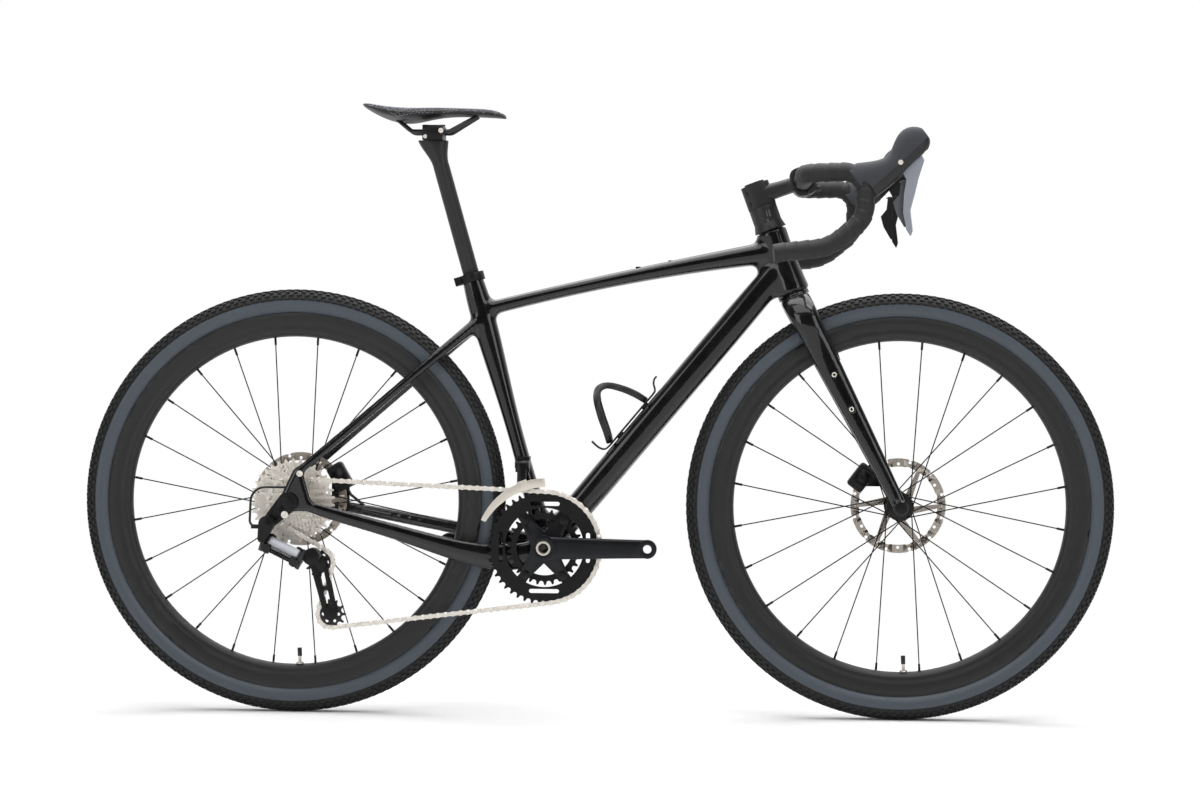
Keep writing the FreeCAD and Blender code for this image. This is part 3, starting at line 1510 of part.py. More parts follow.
def cage_bolts():
    solids = []
    middle = cage_spine_start + cage_spine_length / 2
    for side in (-1, 1):
        base = bb + tube_along * (middle + side * cage_bolt_spacing / 2)
        top = base + tube_out * (spine_top - fit_gap)
        under = top - tube_out * cage_bolt_head_height
        head = rod(under, top, cage_bolt_head)
        shank = rod(base + tube_out * (down_tube_half - frame_bolt_length), under, cage_bolt_radius)
        solids.append(fuse(head, shank))
    return solids


def frame_bolts():
    solids = []
    start = head_top - steer_up * top_tube_drop
    end = bb + seat_up * top_tube_seat_height
    for share in top_bolt_shares:
        center = blend(start, end, share) + z_axis * (top_tube_bow * 4 * share * (1 - share))
        base = center + z_axis * (top_tube_half - frame_bolt_length)
        solids.append(rod(base, center + z_axis * (top_tube_half + frame_bolt_head_height), frame_bolt_head))
    under = bb + tube_along * under_bolt_run - tube_out * (down_tube_half - frame_bolt_length)
    solids.append(rod(under, under - tube_out * (frame_bolt_length + frame_bolt_head_height),
                      frame_bolt_head))
    screw = polar(rear_axle, dropout_axle_radius + hanger_screw_radius,
                  math.atan2(-hanger_down, -hanger_back))
    solids.append(across(screw.x, screw.z, hanger_face - hanger_screw_head, hanger_face, hanger_screw_radius))
    return solids + cage_bolts()


# Seat clamp, seatpost and saddle
seat_top = bb + seat_up * seat_tube_length


def seat_clamp():
    low = seat_top - seat_up * clamp_height * clamp_lap_share
    high = low + seat_up * clamp_height
    outer = seat_tube_half + clamp_wall
    body = rod(low, high, outer)
    ear = local_box(low, seat_forward, y_axis, seat_up, (-outer - clamp_ear_length, -clamp_ear_width / 2, 0),
                    (-seat_tube_half, clamp_ear_width / 2, clamp_height))
    slot = local_box(low, seat_forward, y_axis, seat_up, (-outer * 2, -clamp_slot / 2, -cut_overrun),
                     (0, clamp_slot / 2, clamp_height + cut_overrun))
    bolt = clamp_bolt()
    bore = rod(low - seat_up * cut_overrun, high + seat_up * cut_overrun, seatpost_radius + fit_gap)
    collar = cut(fuse(body, ear), seat_body, bore, slot, bolt)
    return [collar, bolt]


def clamp_bolt():
    mid = seat_top + seat_up * (clamp_height / 2 - clamp_height * clamp_lap_share)
    mid = mid - seat_forward * (seat_tube_half + clamp_wall + clamp_ear_length / 2)
    half = clamp_ear_width / 2 + clamp_bolt_radius
    return rod(mid - y_axis * half, mid + y_axis * half, clamp_bolt_radius)


head_level = rail_height - seatpost_head_drop
head_run = (head_level - bb.z) / seat_up.z
post_head = bb + seat_up * head_run


def post_bolts():
    solids = []
    for side in (-1, 1):
        x = post_head.x + side * post_bolt_spacing
        top = Vector(x, 0, rail_height + rail_radius + clamp_top_thickness)
        bottom = Vector(x, 0, head_level - post_bolt_depth)
        solids.append(fuse(rod(bottom, top, post_bolt_radius),
                           rod(top, top + z_axis * post_bolt_radius, post_bolt_head)))
    return solids


def seatpost():
    start = seat_top - seat_up * seatpost_insert
    neck = post_head - seat_up * seatpost_head_taper
    shaft = rod(start, neck, seatpost_radius)
    stations = [(neck, seatpost_radius, seatpost_radius)]
    for share, half, side in seatpost_head_shares:
        stations.append((neck + seat_up * (seatpost_head_taper * share), seatpost_head_half * half,
                         seatpost_head_side * side))
    head = tube(stations, post_head_squareness)
    lid = Part.makeBox(wheelbase, wheelbase, wheelbase, Vector(-wheelbase, -wheelbase / 2, head_level))
    return cut(fuse(shaft, cut(head, lid)), *post_bolts())


def saddle_clamp():
    solids = []
    for low, high in ((head_level, rail_height - running_gap),
                      (rail_height + running_gap, rail_height + rail_radius + clamp_top_thickness)):
        block = Part.makeBox(cradle_half_length * 2, cradle_side * 2, high - low,
                             Vector(post_head.x - cradle_half_length, -cradle_side, low))
        grooves = [rod(Vector(post_head.x - cradle_half_length, side * rail_spacing / 2, rail_height),
                       Vector(post_head.x + cradle_half_length, side * rail_spacing / 2, rail_height),
                       rail_radius + fit_gap) for side in (-1, 1)]
        solids.append(cut(block, *grooves, *post_bolts()))
    return solids + post_bolts()


def saddle_rail(side):
    straight = side * rail_spacing / 2
    points = [Vector(rail_straight_rear - rail_rear_lead, straight, rail_height + rail_rear_rise),
              Vector(rail_straight_rear, straight, rail_height),
              Vector(rail_straight_front, straight, rail_height),
              Vector(rail_straight_front + rail_front_lead, side * rail_nose_half,
                     rail_height + rail_front_rise)]
    return pipe(route(points, [rail_bend, rail_bend]), rail_radius)


def saddle(rails):
    stations = []
    for run, width, lift, depth in zip(saddle_run_shares, saddle_width_shares, saddle_lift_shares,
                                       saddle_depth_shares):
        top = saddle_top + saddle_thickness * lift
        half = saddle_thickness * depth / 2
        stations.append((Vector(saddle_rear + saddle_length * run, 0, top - half), half,
                         saddle_half_width * width))
    return cut(tube(stations, saddle_squareness), *rails)


# Fork
def steer_point(forward, up):
    return crown + steer_forward * forward + steer_up * up


def fork_centre(i, sign):
    return steer_point(fork_rake * fork_u_shares[i], -fork_length * fork_w_shares[i]) + y_axis * (
        sign * fork_bottom_y * fork_y_shares[i])


def fork_blade(sign):
    stations = []
    for i in range(len(fork_w_shares)):
        stations.append((fork_centre(i, sign), fork_side * fork_thick_shares[i],
                         fork_half * fork_foreaft_shares[i]))
    start = stations[0][0]
    wires = [section(start, steer_up, steer_forward, stations[0][1], stations[0][2], fork_squareness)]
    for i in range(1, len(stations)):
        before = stations[i - 1][0]
        after = stations[min(i + 1, len(stations) - 1)][0]
        tangent = unit(after - before)
        side = unit(steer_forward - tangent * steer_forward.dot(tangent))
        up = side.cross(tangent)
        if i == 1 and up.dot(steer_up) < 0:
            up = up * -1
        if i > 1 and up.dot(last_up) < 0:
            up = up * -1
        last_up = up
        wires.append(section(stations[i][0], up, side, stations[i][1], stations[i][2], fork_squareness))
    blade = Part.makeLoft(wires, True, False)
    faces = sorted((sign * front_spacing / 2, sign * (front_spacing / 2 + fork_dropout_thickness)))
    boss = across(front_axle.x, front_axle.z, faces[0], faces[1], fork_dropout_radius)
    return fuse(blade, boss)


def insert_places():
    places = []
    foot = fork_centre(len(fork_w_shares) - 1, 0)
    knee = fork_centre(4, 0)
    leg = unit(knee - foot)
    span = (knee - foot).Length
    for sign in (-1, 1):
        for i in range(insert_count):
            run = insert_start + insert_spacing * i
            share = run / span
            spot = foot + leg * run
            y = fork_bottom_y * (1 + (fork_y_shares[4] - 1) * share) + fork_side * (
                fork_thick_shares[6] + (fork_thick_shares[4] - fork_thick_shares[6]) * share)
            places.append((spot.x, spot.z, sign, y))
    return places


def insert_solids(bore):
    solids = []
    for x, z, sign, y in insert_places():
        faces = sorted((sign * (y - insert_length), sign * (y + insert_proud)))
        plug = across(x, z, faces[0], faces[1], insert_radius)
        solids.append(cut(plug, across(x, z, faces[0], faces[1], insert_bore_radius)) if bore else plug)
    return solids


def fork():
    race = rod(crown - steer_up * crown_race_height, crown - steer_up * crown_gap, crown_race_radius)
    base = crown - steer_up * fork_crown_depth
    taper_top = crown + steer_up * steerer_taper_length
    cone = Part.makeCone(steerer_base_radius, steerer_radius, (taper_top - base).Length, base, steer_up)
    column = rod(taper_top, crown + steer_up * (stem_top - stem_cap_depth), steerer_radius)
    whole = fuse(fork_blade(-1), fork_blade(1), race, cone, column)
    hole = across(front_axle.x, front_axle.z, -front_spacing, front_spacing, axle_radius + fit_gap)
    spot_face = across(front_axle.x, front_axle.z, -front_spacing / 2, front_spacing / 2, fork_dropout_radius)
    return cut(whole, hole, spot_face, *insert_solids(False))


def thru_axle(center, right, left, head_radius):
    shaft = across(center.x, center.z, -right, left, axle_radius)
    head = across(center.x, center.z, left, left + axle_head_height, head_radius)
    cap = across(center.x, center.z, -right - axle_cap_height, -right, axle_cap_radius)
    socket = across(center.x, center.z, left, left + axle_head_height, axle_socket_radius)
    return cut(fuse(shaft, head, cap), socket)


# Bearings of the headset and the bottom bracket
def frame_bearings():
    upper = head_top - steer_up * bearing_height
    solids = [tube_ring(upper, head_top, upper_bearing_radius, steerer_radius + fit_gap),
              tube_ring(crown, crown + steer_up * bearing_height, lower_bearing_radius,
                        steerer_base_radius + fit_gap)]
    for sign in (-1, 1):
        face = sign * bb_shell_width / 2
        inner = rod(bb + y_axis * (face - sign * bb_cup_width), bb + y_axis * face, bb_bore_radius - fit_gap)
        outer = rod(bb + y_axis * face, bb + y_axis * (face + sign * bb_cup_width), bb_cup_radius)
        bore = across(bb.x, bb.z, -bb_shell_width, bb_shell_width, crank_axle_radius + fit_gap)
        solids.append(cut(fuse(inner, outer), bore))
    return solids


# Spacers, stem, bar and levers
def spacers():
    base = crown + steer_up * (head_tube_length + crown_gap)
    cover = Part.makeCone(cover_radius, spacer_radius, cover_height, base, steer_up)
    bore = rod(base, base + steer_up * (spacer_top + stem_height), steerer_radius + fit_gap)
    solids = [cut(cover, bore)]
    for i in range(spacer_count):
        low = base + steer_up * (cover_height + spacer_height * i)
        solids.append(cut(rod(low, low + steer_up * spacer_height, spacer_radius), bore))
    top = crown + steer_up * stem_top
    solids.append(rod(top, top + steer_up * top_cap_height, top_cap_radius))
    return solids


def stem_bolts():
    solids = []
    for y in (-stem_bolt_spacing / 2, stem_bolt_spacing / 2):
        for up in (-stem_bolt_rise, stem_bolt_rise):
            front = bar_center + y_axis * y + steer_up * up + steer_forward * stem_clamp_half
            solids.append(fuse(rod(front - steer_forward * stem_clamp_half * 3 / 2, front, stem_bolt_radius),
                               rod(front, front + steer_forward * stem_bolt_head_height, stem_bolt_head)))
    for share in stem_rear_bolt_shares:
        mid = steer_point(-stem_rear + stem_bolt_head + stem_bolt_radius / 2,
                          spacer_top + stem_height * share)
        solids.append(rod(mid - y_axis * stem_side, mid + y_axis * stem_side, stem_bolt_radius))
    return solids


def stem():
    foot = steer_point(0, spacer_top)
    top = steer_point(0, stem_top)
    body = tube([(foot, stem_rear, stem_side), (blend(foot, top, 1 / 2), stem_rear, stem_side),
                 (top, stem_rear, stem_side)], stem_squareness)
    neck_start = steer_point(0, spacer_top + stem_height / 2)
    neck = tube([(neck_start, stem_neck_half * 5 / 4, stem_side),
                 (blend(neck_start, bar_center, 1 / 2), stem_neck_half,
                 stem_side), (bar_center, stem_neck_half, stem_clamp_side)], stem_squareness)
    ends = [bar_center - y_axis * stem_clamp_side, bar_center + y_axis * stem_clamp_side]
    clamp = Part.makeLoft([section(end, steer_up, steer_forward, stem_clamp_radius, stem_clamp_half,
                                   stem_clamp_squareness)
                           for end in ends], True, False)
    bar_bore = rod(bar_center - y_axis * stem_clamp_side * 2, bar_center + y_axis * stem_clamp_side * 2,
                   bar_clamp_radius + fit_gap)
    post_bore = rod(foot - steer_up * cut_overrun, top + steer_up * cut_overrun, steerer_radius + fit_gap)
    bolts = stem_bolts()
    front = local_box(bar_center, steer_forward, y_axis, steer_up,
                      (0, -stem_clamp_side * 2, -stem_clamp_radius * 2),
                      (stem_clamp_radius * 2, stem_clamp_side * 2, stem_clamp_radius * 2))
    gap_front = front.copy()
    gap_front.translate(steer_forward * faceplate_gap)
    whole = fuse(body, neck, clamp)
    back = cut(whole, front, bar_bore, post_bore, *bolts)
    plate = cut(main_solid(clamp.common(gap_front)), bar_bore, *bolts)
    return [back, plate] + bolts


def bar_route(sign, start):
    points = [bar_center + Vector(0, sign * start, 0)]
    for x, y, z in bar_route_shares:
        points.append(bar_center + Vector(bar_reach * x, sign * bar_half_width * y, bar_drop * z))
    points.append(bar_center + Vector(-bar_end_back, sign * (bar_half_width + bar_flare), -bar_drop))
    return route(points, [bar_corner_radius, bar_top_radius, bar_front_radius, bar_low_radius])


def handlebar():
    parts = [rod(bar_center - y_axis * bar_clamp_half, bar_center + y_axis * bar_clamp_half,
                 bar_clamp_radius)]
    for sign in (-1, 1):
        parts.append(pipe(bar_route(sign, 0), bar_radius))
        parts.append(Part.makeCone(bar_clamp_radius, bar_radius, bar_taper_end - bar_clamp_half,
                                   bar_center + y_axis * (sign * bar_clamp_half), y_axis * sign))
    return fuse(*parts)


def bar_tape():
    solids = []
    for sign in (-1, 1):
        wire = bar_route(sign, tape_start)
        solids.append(cut(pipe(wire, tape_radius), pipe(wire, bar_radius + fit_gap)))
        last = wire.Edges[-1]
        end = last.valueAt(last.LastParameter)
        away = last.tangentAt(last.LastParameter)
        solids.append(rod(end, end + away * plug_thickness, plug_radius))
    return solids


def hood_point(x_share, z_share, sign):
    return bar_center + Vector(hood_reach * x_share, sign * bar_half_width * bar_route_shares[1][1],
                               hood_height * z_share)


def lever_pin(sign):
    pivot = hood_point(lever_pivot_x_share, lever_pivot_z_share, sign)
    half = hood_side
    return rod(pivot - y_axis * half, pivot + y_axis * half, lever_pin_radius)


def hoods():
    solids = []
    for sign in (-1, 1):
        wires = []
        for i in range(len(hood_x_shares)):
            lean = unit(Vector(hood_lean_shares[i][0], 0, hood_lean_shares[i][1]))
            wires.append(section(hood_point(hood_x_shares[i], hood_z_shares[i], sign), lean, y_axis,
                                 hood_height * hood_half_shares[i], hood_side * hood_side_shares[i],
                                 hood_squareness))
        body = Part.makeLoft(wires, True, False)
        pivot = hood_point(lever_pivot_x_share, lever_pivot_z_share, sign)
        half = lever_slot / 2
        slot = Part.makeBox(hood_reach, lever_slot, hood_height * 2,
                            Vector(pivot.x - lever_boss_radius * 3 / 2, pivot.y - half,
                                   pivot.z + lever_boss_radius * 3 - hood_height * 2))
        pocket_y = pivot.y - sign * half
        pocket = Part.makeBox(hood_reach, pocket_width, hood_height * 2,
                              Vector(pivot.x - lever_boss_radius * 2,
                                     min(pocket_y, pocket_y - sign * pocket_width),
                                     pivot.z - lever_boss_radius - hood_height * 2))
        pin = lever_pin(sign)
        solids.append(cut(body, pipe(bar_route(sign, tape_start), tape_radius + fit_gap), slot, pocket, pin))
        solids.append(pin)
    return solids


def lever_shape(shares, pivot, y0, y1):
    points = [(pivot.x + lever_length * a, pivot.z + lever_length * b) for a, b in shares]
    return prism(points, y0, y1)


def lever_pair(sign):
    pivot = hood_point(lever_pivot_x_share, lever_pivot_z_share, sign)
    half = lever_thickness / 2
    blade = lever_shape(lever_outline_shares, pivot, pivot.y - half, pivot.y + half)
    boss = across(pivot.x, pivot.z, pivot.y - half, pivot.y + half, lever_boss_radius)
    near = half + paddle_gap
    far = near + paddle_thickness
    faces = sorted((pivot.y - sign * near, pivot.y - sign * far))
    paddle = lever_shape(paddle_outline_shares, pivot, faces[0], faces[1])
    top_x = [pivot.x + lever_length * paddle_outline_shares[i][0] for i in (1, 0)]
    hinge = Vector(top_x[0], pivot.y - sign * (near + far) / 2,
                   pivot.z + lever_length * paddle_outline_shares[0][1])
    knuckle = rod(hinge, Vector(top_x[1], hinge.y, hinge.z), paddle_knuckle_radius - running_gap)
    ears = []
    for low, high in ((top_x[0] - running_gap - paddle_ear_thickness, top_x[0] - running_gap),
                      (top_x[1] + running_gap, top_x[1] + running_gap + paddle_ear_thickness)):
        ears.append(rod(Vector(low, hinge.y, hinge.z), Vector(high, hinge.y, hinge.z), paddle_knuckle_radius))
        web_y = sorted((pivot.y, hinge.y))
        ears.append(Part.makeBox(high - low, web_y[1] - web_y[0], paddle_knuckle_radius * 2,
                                 Vector(low, web_y[0], hinge.z - paddle_knuckle_radius)))
    pin = rod(Vector(top_x[0] - paddle_ear_thickness, hinge.y, hinge.z),
              Vector(top_x[1] + paddle_ear_thickness, hinge.y, hinge.z), paddle_pin_radius)
    clear = rod(Vector(top_x[0], hinge.y, hinge.z), Vector(top_x[1], hinge.y, hinge.z),
                paddle_knuckle_radius + running_gap)
    blade = cut(fuse(blade, boss, *ears), lever_pin_hole(pivot), clear)
    blade = fuse(blade, pin)
    hole = rod(Vector(top_x[0] - paddle_ear_thickness, hinge.y, hinge.z),
               Vector(top_x[1] + paddle_ear_thickness, hinge.y, hinge.z), paddle_pin_radius + fit_gap)
    return blade, cut(fuse(paddle, knuckle), hole)


def lever_pin_hole(pivot):
    return across(pivot.x, pivot.z, pivot.y - hood_side, pivot.y + hood_side, lever_pin_radius + fit_gap)


# Cable and hoses, held by the frame and the fork
def derailleur_cable():
    start = Vector(rear_axle.x + cable_exit_lead, -dropout_mid, rear_axle.z + cable_exit_rise)
    back = rear_axle.x - cable_loop_back
    low = hanger_bolt[1] - adjuster_drop
    points = [start, Vector(back, -dropout_mid - cable_radius * 2, start.z), Vector(back, cable_end_y, low),
              Vector(hanger_bolt[0] - b_knuckle_radius - adjuster_length, cable_end_y, low)]
    return pipe(route(points, [cable_loop_radius, cable_low_radius]), cable_radius)


def caliper_frame(center, spacing, angle):
    out = Vector(math.cos(angle), 0, math.sin(angle))
    along = Vector(-math.sin(angle), 0, math.cos(angle))
    middle = center + out * (rotor_radius - caliper_reach + caliper_depth / 2)
    return middle, along, spacing / 2 - rotor_inset


def rear_hose():
    middle, along, y_mid = caliper_frame(rear_axle, rear_spacing, math.radians(rear_caliper_angle))
    start = middle - along * (caliper_length / 2) + y_axis * (y_mid + hose_inset)
    knee = start - along * hose_run
    run = (knee.x + rear_hose_lead - bb.x) / (rear_axle.x - bb.x)
    level = blend(bb, rear_axle, run).z
    end = Vector(knee.x + rear_hose_lead, dropout_mid * hose_end_share, level)
    return pipe(route([start, knee, end], [hose_bend]), hose_radius)


def front_hose():
    middle, along, y_mid = caliper_frame(front_axle, front_spacing, math.radians(front_caliper_angle))
    start = middle - along * (caliper_length / 2) + y_axis * (y_mid + hose_inset)
    knee = start - along * hose_run
    end = Vector(knee.x, fork_bottom_y * fork_y_shares[5], knee.z + front_hose_rise)
    return pipe(route([start, knee, end], [hose_bend]), hose_radius)


def rear_caliper(stays):
    angle = math.radians(rear_caliper_angle)
    middle, along, y_mid = caliper_frame(rear_axle, rear_spacing, angle)
    y0 = y_mid + caliper_slot / 2
    foot = Part.makeBox(caliper_foot_half * 2, y_mid + caliper_half_width - y0, caliper_foot_drop,
                        Vector(middle.x - caliper_foot_half, y0, middle.z - caliper_foot_drop))
    return caliper(rear_axle, rear_spacing, angle, foot, stays)


def front_caliper(seats):
    angle = math.radians(front_caliper_angle)
    middle, along, y_mid = caliper_frame(front_axle, front_spacing, angle)
    y0 = y_mid + caliper_slot / 2
    foot = Part.makeBox(caliper_foot_lead, y_mid + caliper_half_width - y0, caliper_foot_half * 2,
                        Vector(middle.x, y0, middle.z - caliper_foot_half))
    return caliper(front_axle, front_spacing, angle, foot, seats)


# Every node, cut against its neighbours
bolts = frame_bolts()
cable = derailleur_cable()
hose_rear = rear_hose()
hose_front = front_hose()
stays = [cut(stay, tool) for stay, tool in zip(chainstays(), (cable, hose_rear))]
upper_stays = seatstays(stays)
upper_stays[0] = cut(upper_stays[0], cable)
fork_body = cut(fork(), hose_front)
rails = [saddle_rail(-1), saddle_rail(1)]
right_lever, right_paddle = lever_pair(-1)
left_lever, left_paddle = lever_pair(1)
neck_rear = freehub_bore_radius - running_gap
rear_cap = rear_spacing / 2 - freehub_end - running_gap
rear_body_end = freehub_length - freehub_end + running_gap
front_body_end = front_flange_right - flange_thickness * 2
fork_end = front_spacing / 2 + fork_dropout_thickness

nodes = {
    "head_tube": head_tube(),
    "top_tube": cut(top_tube_outline(), head_body, seat_body, down_body, *bolts),
    "down_tube": cut(down_body, head_body, bb_body, seat_body, *bolts),
    "seat_tube": seat_tube(),
    "bottom_bracket_shell": bb_shell(),
    "chainstays": stays,
    "seatstays": upper_stays,
    "derailleur_hanger": hanger(),
    "seat_clamp": seat_clamp(),
    "frame_bearings": frame_bearings(),
    "rear_axle": thru_axle(rear_axle, -hanger_face, dropout_face + dropout_thickness, axle_head_radius),
    "bottle_cage": bottle_cage(),
    "frame_bolts": bolts,
    "front_derailleur_mount": fd_mount(),
    "rear_derailleur_bracket": derailleur_bracket(),
    "rear_brake_caliper": rear_caliper([stays[1], upper_stays[1], hose_rear]),
    "frame_cables": [cable, hose_rear],
    "chain": chain(),
    "seatpost": seatpost(),
    "saddle_clamp": saddle_clamp(),
    "saddle": saddle(rails),
    "saddle_rails": rails,
    "front_derailleur_cage": front_derailleur(),
    "rear_derailleur_outer_link": derailleur_link(link_start),
    "rear_derailleur_inner_link": derailleur_link(link_start + link_swing * link_spacing),
    "rear_derailleur_knuckle": derailleur_knuckle(),
    "rear_derailleur_cage": derailleur_cage(),
    "upper_jockey_wheel": jockey(guide_center),
    "lower_jockey_wheel": jockey(lower_jockey_center),
    "right_crank_arm": right_crank(),
    "left_crank_arm": left_crank(),
    "big_chainring": big_ring(),
    "small_chainring": small_ring(),
    "crank_bolts": ring_bolts(),
    "rear_tyre": tyre(rear_axle),
    "rear_rim": rim(rear_axle),
    "rear_spokes": spokes(rear_axle, rear_flange_right, rear_flange_left),
    "rear_hub": hub(rear_axle, rear_spacing, rear_flange_right, rear_flange_left, rear_body_end, neck_rear,
                    rear_cap),
    "rear_rotor": rotor(rear_axle, rear_spacing),
    "rear_valve": valve(rear_axle),
    "cassette": cassette(),
    "fork": fork_body,
    "headset_spacers": spacers(),
    "stem": stem(),
    "handlebar": handlebar(),
    "bar_tape": bar_tape(),
    "lever_hoods": hoods(),
    "front_axle": thru_axle(front_axle, fork_end, fork_end, axle_head_radius),
    "front_brake_caliper": front_caliper([fork_body, hose_front]) + [hose_front],
    "fork_inserts": insert_solids(True),
    "right_brake_lever": right_lever,
    "left_brake_lever": left_lever,
    "right_shift_paddle": right_paddle,
    "left_shift_paddle": left_paddle,
    "front_tyre": tyre(front_axle),
    "front_rim": rim(front_axle),
    "front_spokes": spokes(front_axle, front_flange_right, front_flange_left),
    "front_hub": hub(front_axle, front_spacing, front_flange_right, front_flange_left, front_body_end,
                     hub_end_radius, hub_end_length),
    "front_rotor": rotor(front_axle, front_spacing),
    "front_valve": valve(front_axle),
}

os.makedirs("parts", exist_ok=True)
for name, made in nodes.items():
    shape = Part.makeCompound(made) if isinstance(made, list) else made
    shape.exportStep("parts/" + name + ".step")
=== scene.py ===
import math

import bpy
from mathutils import Matrix, Vector


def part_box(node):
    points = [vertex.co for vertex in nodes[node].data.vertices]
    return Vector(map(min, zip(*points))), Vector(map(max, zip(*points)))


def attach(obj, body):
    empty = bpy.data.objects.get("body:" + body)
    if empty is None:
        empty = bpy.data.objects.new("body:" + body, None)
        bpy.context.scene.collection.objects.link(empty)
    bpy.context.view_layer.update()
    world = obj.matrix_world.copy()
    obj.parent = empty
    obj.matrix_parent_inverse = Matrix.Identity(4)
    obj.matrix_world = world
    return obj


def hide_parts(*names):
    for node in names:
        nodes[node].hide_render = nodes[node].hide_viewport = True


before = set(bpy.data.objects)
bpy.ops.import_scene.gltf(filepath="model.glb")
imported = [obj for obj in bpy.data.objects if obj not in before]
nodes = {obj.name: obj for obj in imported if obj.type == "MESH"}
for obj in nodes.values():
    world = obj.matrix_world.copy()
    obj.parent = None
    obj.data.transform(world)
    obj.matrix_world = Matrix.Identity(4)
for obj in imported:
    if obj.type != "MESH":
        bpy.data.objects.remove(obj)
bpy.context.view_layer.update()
mm = 0.001
wheelCentre = {"front": Vector((0.509, 0, 0.357)), "rear": Vector((-0.509, 0, 0.357))}
bottomBracket = Vector((-0.0825, 0, 0.285))
facingUp = 0.9  # least z of a normal that counts as a top face
rolledAngle = math.radians(40)  # edges that turn more than this are rolled
print("frame loaded,", len(nodes), "nodes")


# Working habits: pick one object, apply a modifier, copy a solid
def pick(piece):
    bpy.ops.object.select_all(action="DESELECT")
    piece.select_set(True)
    bpy.context.view_layer.objects.active = piece


def applyModifier(piece, kind, **settings):
    pick(piece)
    modifier = piece.modifiers.new(kind.title(), kind)
    for name, value in settings.items():
        setattr(modifier, name, value)
    bpy.ops.object.modifier_apply(modifier=modifier.name)


def remesh(piece, voxel):
    applyModifier(piece, "REMESH", mode="VOXEL", voxel_size=voxel)


def relax(piece, rounds):
    applyModifier(piece, "SMOOTH", factor=0.5, iterations=rounds)


def grow(piece, amount):  # along its normals, or inwards
    applyModifier(piece, "DISPLACE", strength=amount, mid_level=0.0)


def rollEdges(piece, width):
    applyModifier(piece, "BEVEL", width=width, segments=2, limit_method="ANGLE", angle_limit=rolledAngle)


def smoothShade(piece, angle=32):
    pick(piece)
    bpy.ops.object.shade_smooth_by_angle(angle=math.radians(angle))


def mergeDoubles(piece, distance=0.01 * mm):
    pick(piece)
    bpy.ops.object.mode_set(mode="EDIT")
    bpy.ops.mesh.select_all(action="SELECT")
    bpy.ops.mesh.remove_doubles(threshold=distance)
    bpy.ops.object.mode_set(mode="OBJECT")


def joinPieces(name, pieces):
    bpy.ops.object.select_all(action="DESELECT")
    for piece in pieces:
        piece.select_set(True)
    bpy.context.view_layer.objects.active = pieces[0]
    if len(pieces) > 1:
        bpy.ops.object.join()
    pieces[0].name = name
    return pieces[0]


def copyNodes(name, *nodeNames):  # the solids' own meshes, merged, in one new object
    copies = []
    for nodeName in nodeNames:
        piece = bpy.data.objects.new(name, nodes[nodeName].data.copy())
        bpy.context.scene.collection.objects.link(piece)
        piece.data.materials.clear()
        copies.append(piece)
    piece = joinPieces(name, copies)
    mergeDoubles(piece)
    return piece


def settle(piece, body, finish, slot, *replaced):
    piece.data.materials.clear()
    piece.data.materials.append(finish)
    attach(piece, body)
    if replaced:
        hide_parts(*replaced)


# Finishes
def linear(hexColour):
    channels = []
    for i in (0, 2, 4):
        c = int(hexColour[i:i + 2], 16) / 255
        channels.append(c / 12.92 if c <= 0.04045 else ((c + 0.055) / 1.055) ** 2.4)
    return (*channels, 1.0)


def addNode(tree, kind, settings=None, values=None, links=None):
    node = tree.nodes.new("ShaderNode" + kind)
    for name, value in (settings or {}).items():
        setattr(node, name, value)
    for name, value in (values or {}).items():
        node.inputs[name].default_value = value
    for name, source in (links or {}).items():
        tree.links.new(source, node.inputs[name])
    return node


def newFinish(name, roughness, metallic=0.0, **more):
    finish = bpy.data.materials.new(name)
    finish.use_nodes = True
    tree = finish.node_tree
    shader = tree.nodes["Principled BSDF"]
    shader.inputs["Roughness"].default_value = roughness
    shader.inputs["Metallic"].default_value = metallic
    for socket, value in more.items():
        shader.inputs[socket.replace("_", " ")].default_value = value
    place = addNode(tree, "TexCoord").outputs["Object"]
    return finish, tree, shader, place


def toneBetween(tree, shader, factor, dark, light):
    mix = addNode(tree, "Mix", {"data_type": "RGBA"}, {6: linear(dark), 7: linear(light)}, {0: factor})
    tree.links.new(mix.outputs[2], shader.inputs["Base Color"])
    return mix.outputs[2]


def bumpFrom(tree, shader, height, depth, strength):
    bump = addNode(tree, "Bump", None, {"Strength": strength, "Distance": depth}, {"Height": height})
    tree.links.new(bump.outputs["Normal"], shader.inputs["Normal"])


def roughBetween(tree, shader, factor, low, high):
    spread = addNode(tree, "MapRange", None, {"To Min": low, "To Max": high}, {"Value": factor})
    tree.links.new(spread.outputs[0], shader.inputs["Roughness"])


# Laid-up carbon under clear lacquer: near black, a faint twill in the depth, sharp mirror on top
carbonLook = {"dark": "070708", "light": "17181a", "twill": 2.4 * mm, "patch": 34 * mm,
              "lay": math.radians(45), "rough": 0.3, "roughLow": 0.24, "roughHigh": 0.36, "specular": 0.15,
              "coat": 0.8, "coatRough": 0.03}


def makeCarbon():
    look = carbonLook
    finish, tree, shader, place = newFinish("lacqueredCarbon", look["rough"],
                                            Specular_IOR_Level=look["specular"], Coat_Weight=look["coat"],
                                            Coat_Roughness=look["coatRough"])
    turned = addNode(tree, "Mapping", None, {"Rotation": (0.0, look["lay"], 0.0)}, {"Vector": place})
    twill = addNode(tree, "TexChecker", None, {"Scale": 1 / look["twill"]}, {"Vector": turned.outputs[0]})
    patch = addNode(tree, "TexVoronoi", {"distance": "CHEBYCHEV"}, {"Scale": 1 / look["patch"]},
                    {"Vector": turned.outputs[0]})
    blend = addNode(tree, "Math", {"operation": "MULTIPLY"}, None,
                    {0: twill.outputs["Fac"], 1: patch.outputs["Distance"]})
    toneBetween(tree, shader, blend.outputs[0], look["dark"], look["light"])
    roughBetween(tree, shader, patch.outputs["Distance"], look["roughLow"], look["roughHigh"])
    return finish


